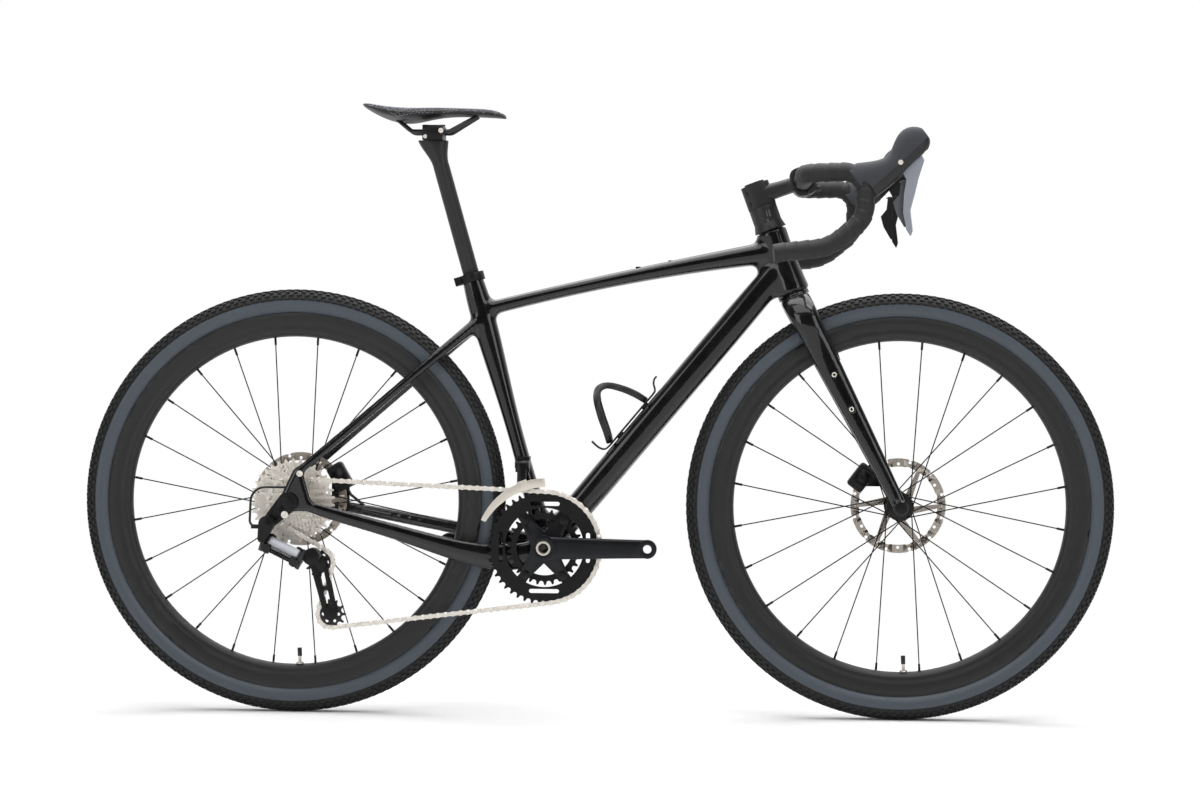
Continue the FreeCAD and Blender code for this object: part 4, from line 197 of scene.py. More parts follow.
# Bare carbon rubbed matt, as on rims, post, stem and rails: soft grey sheen with a fine streak
satinLook = {"dark": "0b0b0c", "light": "151516", "streak": 1.6 * mm, "detail": 3.0, "rough": 0.46,
             "roughLow": 0.4, "roughHigh": 0.54, "depth": 0.02 * mm, "strength": 0.3}


def makeSatinCarbon():
    look = satinLook
    finish, tree, shader, place = newFinish("satinCarbon", look["rough"])
    noise = addNode(tree, "TexNoise", None, {"Scale": 1 / look["streak"], "Detail": look["detail"]},
                    {"Vector": place})
    toneBetween(tree, shader, noise.outputs["Fac"], look["dark"], look["light"])
    roughBetween(tree, shader, noise.outputs["Fac"], look["roughLow"], look["roughHigh"])
    bumpFrom(tree, shader, noise.outputs["Fac"], look["depth"], look["strength"])
    return finish


# Bead-blasted aluminium, anodised: even colour, grit that spreads the highlight, drawn coarse enough to show
blastLook = {"grit": 0.5 * mm, "detail": 2.0, "depth": 0.02 * mm, "strength": 0.25, "metallic": 0.55,
             "spread": 0.07, "cloudShare": 40}


def blast(tree, shader, place, grit, low, high):
    noise = addNode(tree, "TexNoise", None, {"Scale": 1 / grit, "Detail": blastLook["detail"]},
                    {"Vector": place})
    roughBetween(tree, shader, noise.outputs["Fac"], low, high)
    bumpFrom(tree, shader, noise.outputs["Fac"], blastLook["depth"], blastLook["strength"])


def makeAnodised(name, dark, light, roughness, grit=blastLook["grit"]):
    finish, tree, shader, place = newFinish(name, roughness, blastLook["metallic"])
    cloud = addNode(tree, "TexNoise", None,
                    {"Scale": 1 / (blastLook["cloudShare"] * grit), "Detail": blastLook["detail"]},
                    {"Vector": place})
    toneBetween(tree, shader, cloud.outputs["Fac"], dark, light)
    blast(tree, shader, place, grit, roughness - blastLook["spread"], roughness + blastLook["spread"])
    return finish


# Nickel-plated pressed steel: warm silver, streaks of handling and oil
steelLook = {"dark": "cbc4b9", "light": "faf5ee", "streak": 3 * mm, "detail": 4.0, "metallic": 0.3,
             "rough": 0.3, "roughLow": 0.22, "roughHigh": 0.42}


def makePlatedSteel():
    look = steelLook
    finish, tree, shader, place = newFinish("platedSteel", look["rough"], look["metallic"])
    noise = addNode(tree, "TexNoise", None, {"Scale": 1 / look["streak"], "Detail": look["detail"]},
                    {"Vector": place})
    toneBetween(tree, shader, noise.outputs["Fac"], look["dark"], look["light"])
    roughBetween(tree, shader, noise.outputs["Fac"], look["roughLow"], look["roughHigh"])
    return finish


# Moulded nylon and soft rubber: dark, matt, with a fine leathery grain
mouldLook = {"cloudShare": 30, "detail": 2.0, "smoother": 0.08, "rougher": 0.06, "strength": 0.5}


def makeMoulded(name, dark, light, roughness, grain, depth):
    look = mouldLook
    finish, tree, shader, place = newFinish(name, roughness)
    cells = addNode(tree, "TexVoronoi", None, {"Scale": 1 / grain}, {"Vector": place})
    cloud = addNode(tree, "TexNoise", None,
                    {"Scale": 1 / (look["cloudShare"] * grain), "Detail": look["detail"]}, {"Vector": place})
    toneBetween(tree, shader, cloud.outputs["Fac"], dark, light)
    roughBetween(tree, shader, cloud.outputs["Fac"], roughness - look["smoother"],
                 roughness + look["rougher"])
    bumpFrom(tree, shader, cells.outputs["Distance"], depth, look["strength"])
    return finish


# Distance from an axle, for finishes that change with the radius
def axleDistance(tree, place, centre):
    centred = addNode(tree, "Mapping", None, {"Location": -centre}, {"Vector": place})
    flat = addNode(tree, "VectorMath", {"operation": "MULTIPLY"}, {1: (1.0, 0.0, 1.0)},
                   {0: centred.outputs[0]})
    return addNode(tree, "VectorMath", {"operation": "LENGTH"}, None, {0: flat.outputs[0]}).outputs["Value"]


# Tyre: blue-grey bare sidewall, black tread rubber with a dusty grain
tyreLook = {"wall": "4d565f", "tread": "1b1b1d", "edge": 338.5 * mm, "soft": 1.2 * mm, "grain": 1.4 * mm,
            "detail": 3.0, "dust": 0.5, "rough": 0.62, "wallRough": 0.5, "treadRough": 0.72,
            "depth": 0.12 * mm, "strength": 0.5}


def makeTyre(side):
    look = tyreLook
    finish, tree, shader, place = newFinish("tyreRubber" + side.title(), look["rough"])
    radius = axleDistance(tree, place, wheelCentre[side])
    share = addNode(tree, "MapRange", None,
                    {"From Min": look["edge"] - look["soft"], "From Max": look["edge"]}, {"Value": radius})
    grain = addNode(tree, "TexNoise", None, {"Scale": 1 / look["grain"], "Detail": look["detail"]},
                    {"Vector": place})
    tone = toneBetween(tree, shader, share.outputs[0], look["wall"], look["tread"])
    worn = addNode(tree, "Mix", {"data_type": "RGBA", "blend_type": "MULTIPLY"}, {0: look["dust"]},
                   {6: tone, 7: grain.outputs["Color"]})
    tree.links.new(worn.outputs[2], shader.inputs["Base Color"])
    roughBetween(tree, shader, share.outputs[0], look["wallRough"], look["treadRough"])
    bumpFrom(tree, shader, grain.outputs["Fac"], look["depth"], look["strength"])
    return finish


# Disc: ground steel band and arms, its rings drawn coarse enough to show, black carrier in the middle
rotorLook = {"band": "b9b1a8", "carrier": "131314", "edge": 25.0 * mm, "groove": 0.9 * mm, "rough": 0.3,
             "bandRough": 0.28, "carrierRough": 0.5, "depth": 0.01 * mm, "strength": 0.3}


def makeRotor(side):
    look = rotorLook
    finish, tree, shader, place = newFinish("groundDisc" + side.title(), look["rough"], 1.0)
    radius = axleDistance(tree, place, wheelCentre[side])
    band = addNode(tree, "Math", {"operation": "GREATER_THAN"}, {1: look["edge"]}, {0: radius})
    rings = addNode(tree, "Math", {"operation": "MULTIPLY"}, {1: 2 * math.pi / look["groove"]}, {0: radius})
    groove = addNode(tree, "Math", {"operation": "SINE"}, None, {0: rings.outputs[0]})
    toneBetween(tree, shader, band.outputs[0], look["carrier"], look["band"])
    roughBetween(tree, shader, band.outputs[0], look["carrierRough"], look["bandRough"])
    bumpFrom(tree, shader, groove.outputs[0], look["depth"], look["strength"])
    return finish


# Valve: plated stem, black cap over its inner end
valveLook = {"stem": "cfc8bf", "cap": "0d0d0e", "edge": 264.0 * mm, "rough": 0.32}


def makeValve(side):
    look = valveLook
    finish, tree, shader, place = newFinish("valveStem" + side.title(), look["rough"], 1.0)
    outside = addNode(tree, "Math", {"operation": "GREATER_THAN"}, {1: look["edge"]},
                      {0: axleDistance(tree, place, wheelCentre[side])})
    toneBetween(tree, shader, outside.outputs[0], look["cap"], look["stem"])
    tree.links.new(outside.outputs[0], shader.inputs["Metallic"])
    return finish


# Crank: forged arm anodised charcoal, ground steel axle end showing as a ring
crankLook = {"axle": 12.03 * mm, "ring": "c9c4bc", "dark": "141517", "light": "222327", "cloud": 30 * mm,
             "detail": 3.0, "metallic": 0.6, "rough": 0.36, "roughLow": 0.28, "roughHigh": 0.42}


def makeCrank():
    look = crankLook
    finish, tree, shader, place = newFinish("forgedCrank", look["rough"], look["metallic"])
    arm = addNode(tree, "Math", {"operation": "GREATER_THAN"}, {1: look["axle"]},
                  {0: axleDistance(tree, place, bottomBracket)})
    cloud = addNode(tree, "TexNoise", None, {"Scale": 1 / look["cloud"], "Detail": look["detail"]},
                    {"Vector": place})
    forged = toneBetween(tree, shader, cloud.outputs["Fac"], look["dark"], look["light"])
    whole = addNode(tree, "Mix", {"data_type": "RGBA"}, {6: linear(look["ring"])},
                    {0: arm.outputs[0], 7: forged})
    tree.links.new(whole.outputs[2], shader.inputs["Base Color"])
    blast(tree, shader, place, blastLook["grit"], look["roughLow"], look["roughHigh"])
    return finish


# Front derailleur: plated cage plates, black arm that carries them
shifterLook = {"edge": 117.5 * mm, "plate": "d9d2c8", "arm": "101011", "streak": 3 * mm, "detail": 3.0,
               "metallic": 0.5, "rough": 0.34, "roughLow": 0.26, "roughHigh": 0.42}


def makeShifter():
    look = shifterLook
    finish, tree, shader, place = newFinish("shifterCage", look["rough"], look["metallic"])
    arm = addNode(tree, "Math", {"operation": "GREATER_THAN"}, {1: look["edge"]},
                  {0: axleDistance(tree, place, bottomBracket)})
    streak = addNode(tree, "TexNoise", None, {"Scale": 1 / look["streak"], "Detail": look["detail"]},
                     {"Vector": place})
    toneBetween(tree, shader, arm.outputs[0], look["plate"], look["arm"])
    roughBetween(tree, shader, streak.outputs["Fac"], look["roughLow"], look["roughHigh"])
    return finish


# Lever blade: pale grey alloy on its outer face, black on its edges and towards the wheel
bladeLook = {"grey": "959aa4", "paddle": "5b5d61", "black": "101011", "from": 0.55, "to": 0.85,
             "grit": 0.4 * mm, "metallic": 0.35, "rough": 0.4, "roughLow": 0.32, "roughHigh": 0.48}


def makeBlade(name, outward, grey):
    look = bladeLook
    finish, tree, shader, place = newFinish(name, look["rough"], look["metallic"])
    facing = addNode(tree, "SeparateXYZ", None, None, {0: addNode(tree, "NewGeometry").outputs["Normal"]})
    outer = addNode(tree, "MapRange", None,
                    {"From Min": outward * look["from"], "From Max": outward * look["to"]},
                    {"Value": facing.outputs["Y"]})
    toneBetween(tree, shader, outer.outputs[0], look["black"], grey)
    blast(tree, shader, place, look["grit"], look["roughLow"], look["roughHigh"])
    return finish


# Lever hood: grey gum rubber over the grip, a harder black shell below the seam through the lever pin
hoodLook = {"pin": Vector((0.4935, 0, 0.9159)), "seam": Vector((-0.93, 0, 1)), "rubber": "2f3035",
            "shell": "101011", "grain": 1.2 * mm, "rough": 0.6, "rubberRough": 0.66, "shellRough": 0.42,
            "depth": 0.08 * mm, "strength": 0.5}


def makeHood():
    look = hoodLook
    finish, tree, shader, place = newFinish("gripRubber", look["rough"])
    height = addNode(tree, "VectorMath", {"operation": "DOT_PRODUCT"}, {1: look["seam"]}, {0: place})
    above = addNode(tree, "Math", {"operation": "GREATER_THAN"}, {1: look["pin"].dot(look["seam"])},
                    {0: height.outputs["Value"]})
    cells = addNode(tree, "TexVoronoi", None, {"Scale": 1 / look["grain"]}, {"Vector": place})
    toneBetween(tree, shader, above.outputs[0], look["shell"], look["rubber"])
    roughBetween(tree, shader, above.outputs[0], look["shellRough"], look["rubberRough"])
    bumpFrom(tree, shader, cells.outputs["Distance"], look["depth"], look["strength"])
    return finish


# This bike's finishes: name, dark and light tone, roughness, grain and its depth
carbon = makeCarbon()
satinCarbon = makeSatinCarbon()
blackAlloy = makeAnodised("anodisedBlack", "0e0e0f", "171718", 0.42)
greyAlloy = makeAnodised("anodisedGrey", "77797d", "8f9196", 0.34)
forgedCrank = makeCrank()
shifterCage = makeShifter()
plated = makePlatedSteel()
blackSteel = makeAnodised("blackenedSteel", "0d0d0e", "19191b", 0.38, 0.4 * mm)
nylon = makeMoulded("mouldedNylon", "0c0c0d", "151516", 0.48, 0.6 * mm, 0.03 * mm)
gripRubber = makeHood()
tapeFoam = makeMoulded("woundFoamTape", "0d0d0e", "18181a", 0.64, 1.0 * mm, 0.06 * mm)
saddlePolymer = makeMoulded("printedPolymer", "08080a", "111113", 0.5, 0.8 * mm, 0.04 * mm)
# Painted highlight: the honeycomb bars are pale grey for the light their ridges catch, while the printed
# lattice itself is near black
honeycomb = makeMoulded("honeycombPaintedHighlight", "74757f", "8e8f9b", 0.34, 0.8 * mm, 0.02 * mm)
hoseJacket = makeMoulded("hoseJacket", "0b0b0c", "131314", 0.35, 0.7 * mm, 0.02 * mm)
tyreRubber = {side: makeTyre(side) for side in wheelCentre}
groundDisc = {side: makeRotor(side) for side in wheelCentre}
valveStem = {side: makeValve(side) for side in wheelCentre}
outwardY = {"right": -1, "left": 1}
bladeAlloy = {}
paddleNylon = {}
for side, way in outwardY.items():
    bladeAlloy[side] = makeBlade("leverBlade" + side.title(), way, bladeLook["grey"])
    paddleNylon[side] = makeBlade("paddle" + side.title(), way, bladeLook["paddle"])
print("finishes made")

# Solids that keep their shape: a merged copy with smooth normals, and a small rolled edge where it shows
kept = [
    # node, body, finish, slot, edge radius in mm
    ("derailleur_hanger", "frame", blackAlloy, "black_alloy", 0.5),
    ("seat_clamp", "frame", blackAlloy, "black_alloy", 0.6),
    ("frame_bearings", "frame", blackAlloy, "bright_steel", 0.0),
    ("rear_axle", "frame", blackAlloy, "black_alloy", 0.4),
    ("frame_bolts", "frame", blackSteel, "black_steel", 0.3),
    ("front_derailleur_mount", "frame", blackAlloy, "black_alloy", 0.5),
    ("rear_derailleur_bracket", "frame", blackAlloy, "black_alloy", 0.5),
    ("rear_brake_caliper", "frame", blackAlloy, "black_alloy", 0.0),
    ("frame_cables", "frame", hoseJacket, "black_plastic", 0.0),
    ("chain", "frame", plated, "bright_steel", 0.0),
    ("seatpost", "seatpost", satinCarbon, "satin_carbon", 0.5),
    ("saddle_clamp", "seatpost", blackAlloy, "black_alloy", 0.4),
    ("saddle_rails", "saddle", satinCarbon, "satin_carbon", 0.0),
    ("front_derailleur_cage", "front_derailleur", shifterCage, "bright_steel", 0.2),
    ("rear_derailleur_outer_link", "rd_outer_link", greyAlloy, "grey_alloy", 0.6),
    ("rear_derailleur_inner_link", "rd_inner_link", blackAlloy, "black_alloy", 0.5),
    ("rear_derailleur_knuckle", "rd_knuckle", blackAlloy, "black_alloy", 0.6),
    ("rear_derailleur_cage", "rd_cage", blackAlloy, "black_alloy", 0.2),
    ("upper_jockey_wheel", "upper_jockey", nylon, "black_plastic", 0.0),
    ("lower_jockey_wheel", "lower_jockey", nylon, "black_plastic", 0.0),
    ("right_crank_arm", "crank", forgedCrank, "grey_alloy", 0.6),
    ("left_crank_arm", "crank", forgedCrank, "grey_alloy", 0.6),
    ("big_chainring", "crank", blackAlloy, "grey_alloy", 0.0),
    ("small_chainring", "crank", blackAlloy, "grey_alloy", 0.0),
    ("crank_bolts", "crank", blackSteel, "black_steel", 0.2),
    ("cassette", "cassette", plated, "bright_steel", 0.0),
    ("headset_spacers", "fork", satinCarbon, "black_alloy", 0.4),
    ("stem", "fork", satinCarbon, "black_alloy", 0.8),
    ("handlebar", "fork", blackAlloy, "black_alloy", 0.0),
    ("front_axle", "fork", blackAlloy, "black_alloy", 0.4),
    ("front_brake_caliper", "fork", blackAlloy, "black_alloy", 0.0),
    ("fork_inserts", "fork", plated, "bright_steel", 0.3),
]
for side, body in (("front", "front_wheel"), ("rear", "rear_wheel")):
    kept += [
        (side + "_rim", body, satinCarbon, "satin_carbon", 0.0),
        (side + "_spokes", body, blackSteel, "black_steel", 0.0),
        (side + "_hub", body, blackAlloy, "black_alloy", 0.4),
        (side + "_rotor", body, groundDisc[side], "bright_steel", 0.0),
        (side + "_valve", body, valveStem[side], "bright_steel", 0.2),
    ]


def keepSolids():
    for node, body, finish, slot, edge in kept:
        piece = copyNodes(node.replace("_", "-") + "-finished", node)
        if edge:
            rollEdges(piece, edge * mm)
        smoothShade(piece)
        settle(piece, body, finish, slot, node)


keepSolids()
print("kept solids finished,", len(kept))

# Frame tubes grown into one moulded shell, with rounded webs where tubes meet
shellShape = {"voxel": 2.4 * mm, "web": 7 * mm, "smooth": 6}


def growTogether(name, *nodeNames):
    piece = copyNodes(name, *nodeNames)
    remesh(piece, shellShape["voxel"])
    for amount in (shellShape["web"], -shellShape["web"]):  # out, so that corners fill, and back
        grow(piece, amount)
        remesh(piece, shellShape["voxel"])
        relax(piece, shellShape["smooth"])
    smoothShade(piece, angle=60)
    return piece


tubeNodes = ["head_tube", "top_tube", "down_tube", "seat_tube", "bottom_bracket_shell", "chainstays",
             "seatstays"]
shell = growTogether("carbon-frame-shell", *tubeNodes)
settle(shell, "frame", carbon, "carbon_frame", *tubeNodes)
forkBody = copyNodes("carbon-fork", "fork")
smoothShade(forkBody, angle=40)
settle(forkBody, "fork", carbon, "carbon_frame", "fork")
print("frame shell,", len(shell.data.polygons), "faces")

# Tyre casing as a torus, knobs in staggered rows
tyreShape = {"ring": 333.6 * mm, "tube": 20.8 * mm, "ringSteps": 180, "tubeSteps": 32, "rows": 160,
             "knobHeight": 2.6 * mm, "knobTaper": 0.78}
knobRows = [
    # lean from the crown in degrees, row offset share, length along, width across in mm
    (0, 0.0, 9.0, 5.4), (16, 0.5, 7.0, 5.0), (-16, 0.5, 7.0, 5.0), (33, 0.0, 7.6, 4.8), (-33, 0.0, 7.6, 4.8),
    (50, 0.5, 8.4, 5.2), (-50, 0.5, 8.4, 5.2), (67, 0.0, 9.6, 5.0), (-67, 0.0, 9.6, 5.0),
]


def makeTyrePiece(side):
    centre = wheelCentre[side]
    bpy.ops.object.select_all(action="DESELECT")
    bpy.ops.mesh.primitive_torus_add(location=centre, rotation=(math.radians(90), 0, 0),
                                     major_segments=tyreShape["ringSteps"], major_radius=tyreShape["ring"],
                                     minor_segments=tyreShape["tubeSteps"], minor_radius=tyreShape["tube"])
    casing = bpy.context.object
    bpy.ops.object.transform_apply(location=True, rotation=True, scale=True)
    knobs = []
    step = 2 * math.pi / tyreShape["rows"]
    for lean, offset, along, across in knobRows:
        bpy.ops.object.select_all(action="DESELECT")
        bpy.ops.mesh.primitive_cube_add(size=1)
        knob = bpy.context.object
        knob.scale = (along * mm, across * mm, tyreShape["knobHeight"] * 2)  # half of it sunk in the casing
        bpy.ops.object.transform_apply(scale=True)
        bpy.ops.object.mode_set(mode="EDIT")
        bpy.ops.mesh.select_all(action="DESELECT")
        bpy.ops.object.mode_set(mode="OBJECT")
        for face in knob.data.polygons:
            face.select = face.normal.z > facingUp
        bpy.ops.object.mode_set(mode="EDIT")
        bpy.ops.mesh.select_mode(type="FACE")
        bpy.ops.transform.resize(value=(tyreShape["knobTaper"], tyreShape["knobTaper"], 1.0))
        bpy.ops.object.mode_set(mode="OBJECT")
        turn = Matrix.Rotation(math.radians(lean), 4, "X")
        lift = Matrix.Translation((0, 0, tyreShape["tube"]))
        up = Matrix.Translation((0, 0, tyreShape["ring"]))
        around = Matrix.Rotation(offset * step, 4, "Y")
        knob.data.transform(Matrix.Translation(centre) @ around @ up @ turn @ lift)
        knobs.append(knob)
    row = joinPieces("knob-row", knobs)
    pick(row)
    bpy.ops.object.mode_set(mode="EDIT")
    bpy.ops.mesh.select_all(action="SELECT")
    bpy.ops.mesh.spin(steps=tyreShape["rows"] - 1, dupli=True, angle=2 * math.pi - step, center=centre,
                      axis=(0, 1, 0))
    bpy.ops.object.mode_set(mode="OBJECT")
    tyre = joinPieces(side + "-tyre-knobbed", [casing, row])
    smoothShade(tyre, angle=40)
    settle(tyre, side + "_wheel", tyreRubber[side], "tyre_rubber", side + "_tyre")
    print(side, "tyre,", len(tyre.data.polygons), "faces")


for side in wheelCentre:
    makeTyrePiece(side)

# Soft-edged mouldings: the solid melted a little, so that every edge is rolled
mouldings = [
    # name, node, voxel in mm, smoothing rounds, swell in mm that keeps thin lips whole, body, finish, slot
    ("lever-hoods-moulded", "lever_hoods", 1.1, 5, 0.9, "fork", gripRubber, "grip_rubber"),
]
for side in outwardY:
    mouldings += [
        (side + "-lever-forged", side + "_brake_lever", 0.7, 14, 0.0, side + "_lever", bladeAlloy[side],
         "grey_alloy"),
        (side + "-paddle-moulded", side + "_shift_paddle", 0.6, 10, 0.0, side + "_paddle", paddleNylon[side],
         "black_plastic"),
    ]


def softenSolids():
    for name, node, voxel, rounds, swell, body, finish, slot in mouldings:
        piece = copyNodes(name, node)
        if swell:
            grow(piece, swell * mm)
        remesh(piece, voxel * mm)
        relax(piece, rounds)
        smoothShade(piece, angle=60)
        settle(piece, body, finish, slot, node)


softenSolids()
print("hoods and levers softened")

# Bottle cage: one strap along the tube, hooked at both ends, and a rounded wing each side
cageShape = {"along": Vector((0.63854, 0, 0.76959)), "out": Vector((-0.76959, 0, 0.63854)), "start": 196.0,
             "face": 29.0, "line": 65.8, "bottle": 38.1, "strapSteps": 60, "strapWall": 3.0, "wingSteps": 72,
             "wingBand": 10.0, "wingWall": 2.6, "edgeShare": 0.35, "padSteps": 32, "padRadius": 7.0,
             "padHeight": 3.4, "padSink": 3.4, "padRuns": (27.0, 91.0)}
# run along the tube and height over it, in mm, and for the strap its half width
wingPoints = [(6, 1), (17, 17), (31, 41), (48, 65), (62, 74), (77, 66), (89, 43), (96, 20), (99, 1)]
strapPoints = [(-12, 26, 8), (-12.5, 12, 8), (-9, 2, 9), (0, -1.5, 10), (28, -1.5, 10), (60, -1.5, 10),
               (90, -1.5, 10), (116, -1.5, 10), (123, 1, 7), (129, 9, 5), (136, 13, 5), (142, 13, 4)]
lineNudge = 0.005  # share of a line to each side that gives its direction


def alongLine(points, share):  # a smooth line through the points
    spot = share * (len(points) - 1)
    first = min(int(spot), len(points) - 2)
    part = spot - first
    a, b, c, d = (Vector(points[max(0, min(len(points) - 1, first + k))]) for k in (-1, 0, 1, 2))
    square = 2 * a - 5 * b + 4 * c - d
    cube = 3 * b - a - 3 * c + d
    return 0.5 * (2 * b + (c - a) * part + square * part ** 2 + cube * part ** 3)


def bendStrip(name, steps, thickness, placeAt):  # a grid two points wide, laid where placeAt says
    bpy.ops.object.select_all(action="DESELECT")
    bpy.ops.mesh.primitive_grid_add(x_subdivisions=steps, y_subdivisions=2, size=1)
    strip = bpy.context.object
    strip.name = name
    for vertex in strip.data.vertices:
        vertex.co = placeAt(vertex.co.x + 0.5, vertex.co.y * 2)
    pick(strip)
    bpy.ops.object.mode_set(mode="EDIT")
    bpy.ops.mesh.select_all(action="SELECT")
    bpy.ops.mesh.normals_make_consistent(inside=False)
    bpy.ops.object.mode_set(mode="OBJECT")
    applyModifier(strip, "SOLIDIFY", thickness=thickness, offset=0.0)
    rollEdges(strip, thickness * cageShape["edgeShare"])
    return strip


def onTube(run, out, side=0.0):
    return (bottomBracket + cageShape["along"] * ((cageShape["start"] + run) * mm)
            + cageShape["out"] * ((cageShape["face"] + out) * mm) + Vector((0, side * mm, 0)))


def makeBottleCage():
    def strapAt(share, edge):
        run, out, half = alongLine(strapPoints, share)
        return onTube(run, out, edge * half)

    pieces = [bendStrip("strap", cageShape["strapSteps"], cageShape["strapWall"] * mm, strapAt)]
    for side in (-1, 1):
        def wingAt(share, edge):
            here = alongLine(wingPoints, share)
            before = alongLine(wingPoints, max(0.0, share - lineNudge))
            ahead = (alongLine(wingPoints, min(1.0, share + lineNudge)) - before).normalized()
            run = here.x - ahead.y * edge * cageShape["wingBand"] / 2
            out = here.y + ahead.x * edge * cageShape["wingBand"] / 2
            rise = cageShape["face"] + out - cageShape["line"]
            return onTube(run, out, side * math.sqrt(max(0.0, cageShape["bottle"] ** 2 - rise ** 2)))

        pieces.append(bendStrip("wing", cageShape["wingSteps"], cageShape["wingWall"] * mm, wingAt))
    padTurn = cageShape["out"].to_track_quat("Z", "Y").to_euler()
    for run in cageShape["padRuns"]:
        bpy.ops.object.select_all(action="DESELECT")
        bpy.ops.mesh.primitive_cylinder_add(vertices=cageShape["padSteps"], rotation=padTurn,
                                            radius=cageShape["padRadius"] * mm,
                                            depth=cageShape["padHeight"] * mm,
                                            location=onTube(run, -cageShape["padSink"]))
        bpy.ops.object.transform_apply(location=True, rotation=True, scale=True)
        pieces.append(bpy.context.object)
    cage = joinPieces("bottle-cage-moulded", pieces)
    smoothShade(cage, angle=45)
    settle(cage, "frame", nylon, "black_plastic", "bottle_cage")
    print("bottle cage,", len(cage.data.polygons), "faces")


makeBottleCage()

# Round screw heads with a sunk socket, set on the face that carries them
screwShape = {"steps": 36, "from": 0.3, "socketShare": 0.45, "depthShare": 0.7, "edgeShare": 0.25,
              "liftShare": 0.35}
screws = [
    # name, body, x, z, side, radius and height in mm, carried by
    ("stay-screw", "frame", -490.0, 405.0, -1, 5.2, 1.6, "carbon-frame-shell"),
    ("hanger-screw", "frame", -513.5, 336.5, -1, 6.0, 1.8, "derailleur-hanger-finished"),
    ("clamp-front-screw", "seatpost", -263.5, 981.0, -1, 4.2, 1.6, "saddle-clamp-finished"),
    ("clamp-rear-screw", "seatpost", -290.0, 971.0, -1, 3.4, 1.6, "saddle-clamp-finished"),
    ("right-lever-pin", "fork", 493.5, 915.9, -1, 4.0, 0.9, "lever-hoods-moulded"),
    ("left-lever-pin", "fork", 493.5, 915.9, 1, 4.0, 0.9, "lever-hoods-moulded"),
]


def makeScrews():
    for name, body, x, z, side, radius, height, carrier in screws:
        start = Vector((x * mm, side * screwShape["from"], z * mm))
        found, spot, normal = bpy.data.objects[carrier].ray_cast(start, Vector((0, -side, 0)))[:3]
        if not found:
            print("no seat for", name)
            continue
        bpy.ops.object.select_all(action="DESELECT")
        bpy.ops.mesh.primitive_cylinder_add(vertices=screwShape["steps"], radius=radius * mm,
                                            depth=height * mm)
        screw = bpy.context.object
        bpy.ops.object.mode_set(mode="EDIT")
        bpy.ops.mesh.select_mode(type="FACE")
        bpy.ops.object.mode_set(mode="OBJECT")
        for face in screw.data.polygons:
            face.select = face.normal.z > facingUp
        bpy.ops.object.mode_set(mode="EDIT")
        bpy.ops.mesh.inset(thickness=radius * screwShape["socketShare"] * mm)
        sink = (0, 0, -height * screwShape["depthShare"] * mm)
        bpy.ops.mesh.extrude_region_move(TRANSFORM_OT_translate={"value": sink})
        bpy.ops.object.mode_set(mode="OBJECT")
        rollEdges(screw, height * screwShape["edgeShare"] * mm)
        turn = normal.to_track_quat("Z", "Y").to_matrix().to_4x4()
        lift = normal * height * screwShape["liftShare"] * mm
        screw.data.transform(Matrix.Translation(spot + lift) @ turn)
        screw.name = name
        smoothShade(screw, angle=40)
        settle(screw, body, plated, "bright_steel")


makeScrews()
print("screws set,", len(screws))

# Saddle: a thin dark pad under an open honeycomb, printed in one with it, from the crown down both flanks;
# the honeycomb's pale grey is painted highlight
saddleShape = {"cell": 4.4 * mm, "wire": 1.4 * mm, "lift": 0.5 * mm, "bare": 0.12, "sink": 1.2 * mm,
               "voxel": 2.5 * mm, "smooth": 8, "reach": 200 * mm, "turn": math.radians(2), "turns": 45,
               "girthShare": 1.4, "weldShare": 0.05}


def crownLine(pad, x, side, middle):  # points round the section at x, from the crown down one flank
    line = []
    axis = Vector((x, 0, middle))
    up = Vector((0, 0, 1))
    crown = pad.ray_cast(axis + up * saddleShape["reach"], -up)[1]
    belly = pad.ray_cast(axis - up * saddleShape["reach"], up)[1]
    lowest = belly.z + (crown.z - belly.z) * saddleShape["bare"]
    for i in range(saddleShape["turns"]):
        out = Vector((0, side * math.sin(i * saddleShape["turn"]), math.cos(i * saddleShape["turn"])))
        found, spot, normal = pad.ray_cast(axis + out * saddleShape["reach"], -out)[:3]
        if not found or spot.z < lowest:
            break
        line.append((spot, normal))
    return line


def runAlong(line, run):  # the place and normal at a run along the section, or None past its end
    for (here, hereUp), (ahead, aheadUp) in zip(line, line[1:]):
        step = (ahead - here).length
        if run <= step:
            return here.lerp(ahead, run / step), hereUp.lerp(aheadUp, run / step).normalized()
        run -= step
    return None


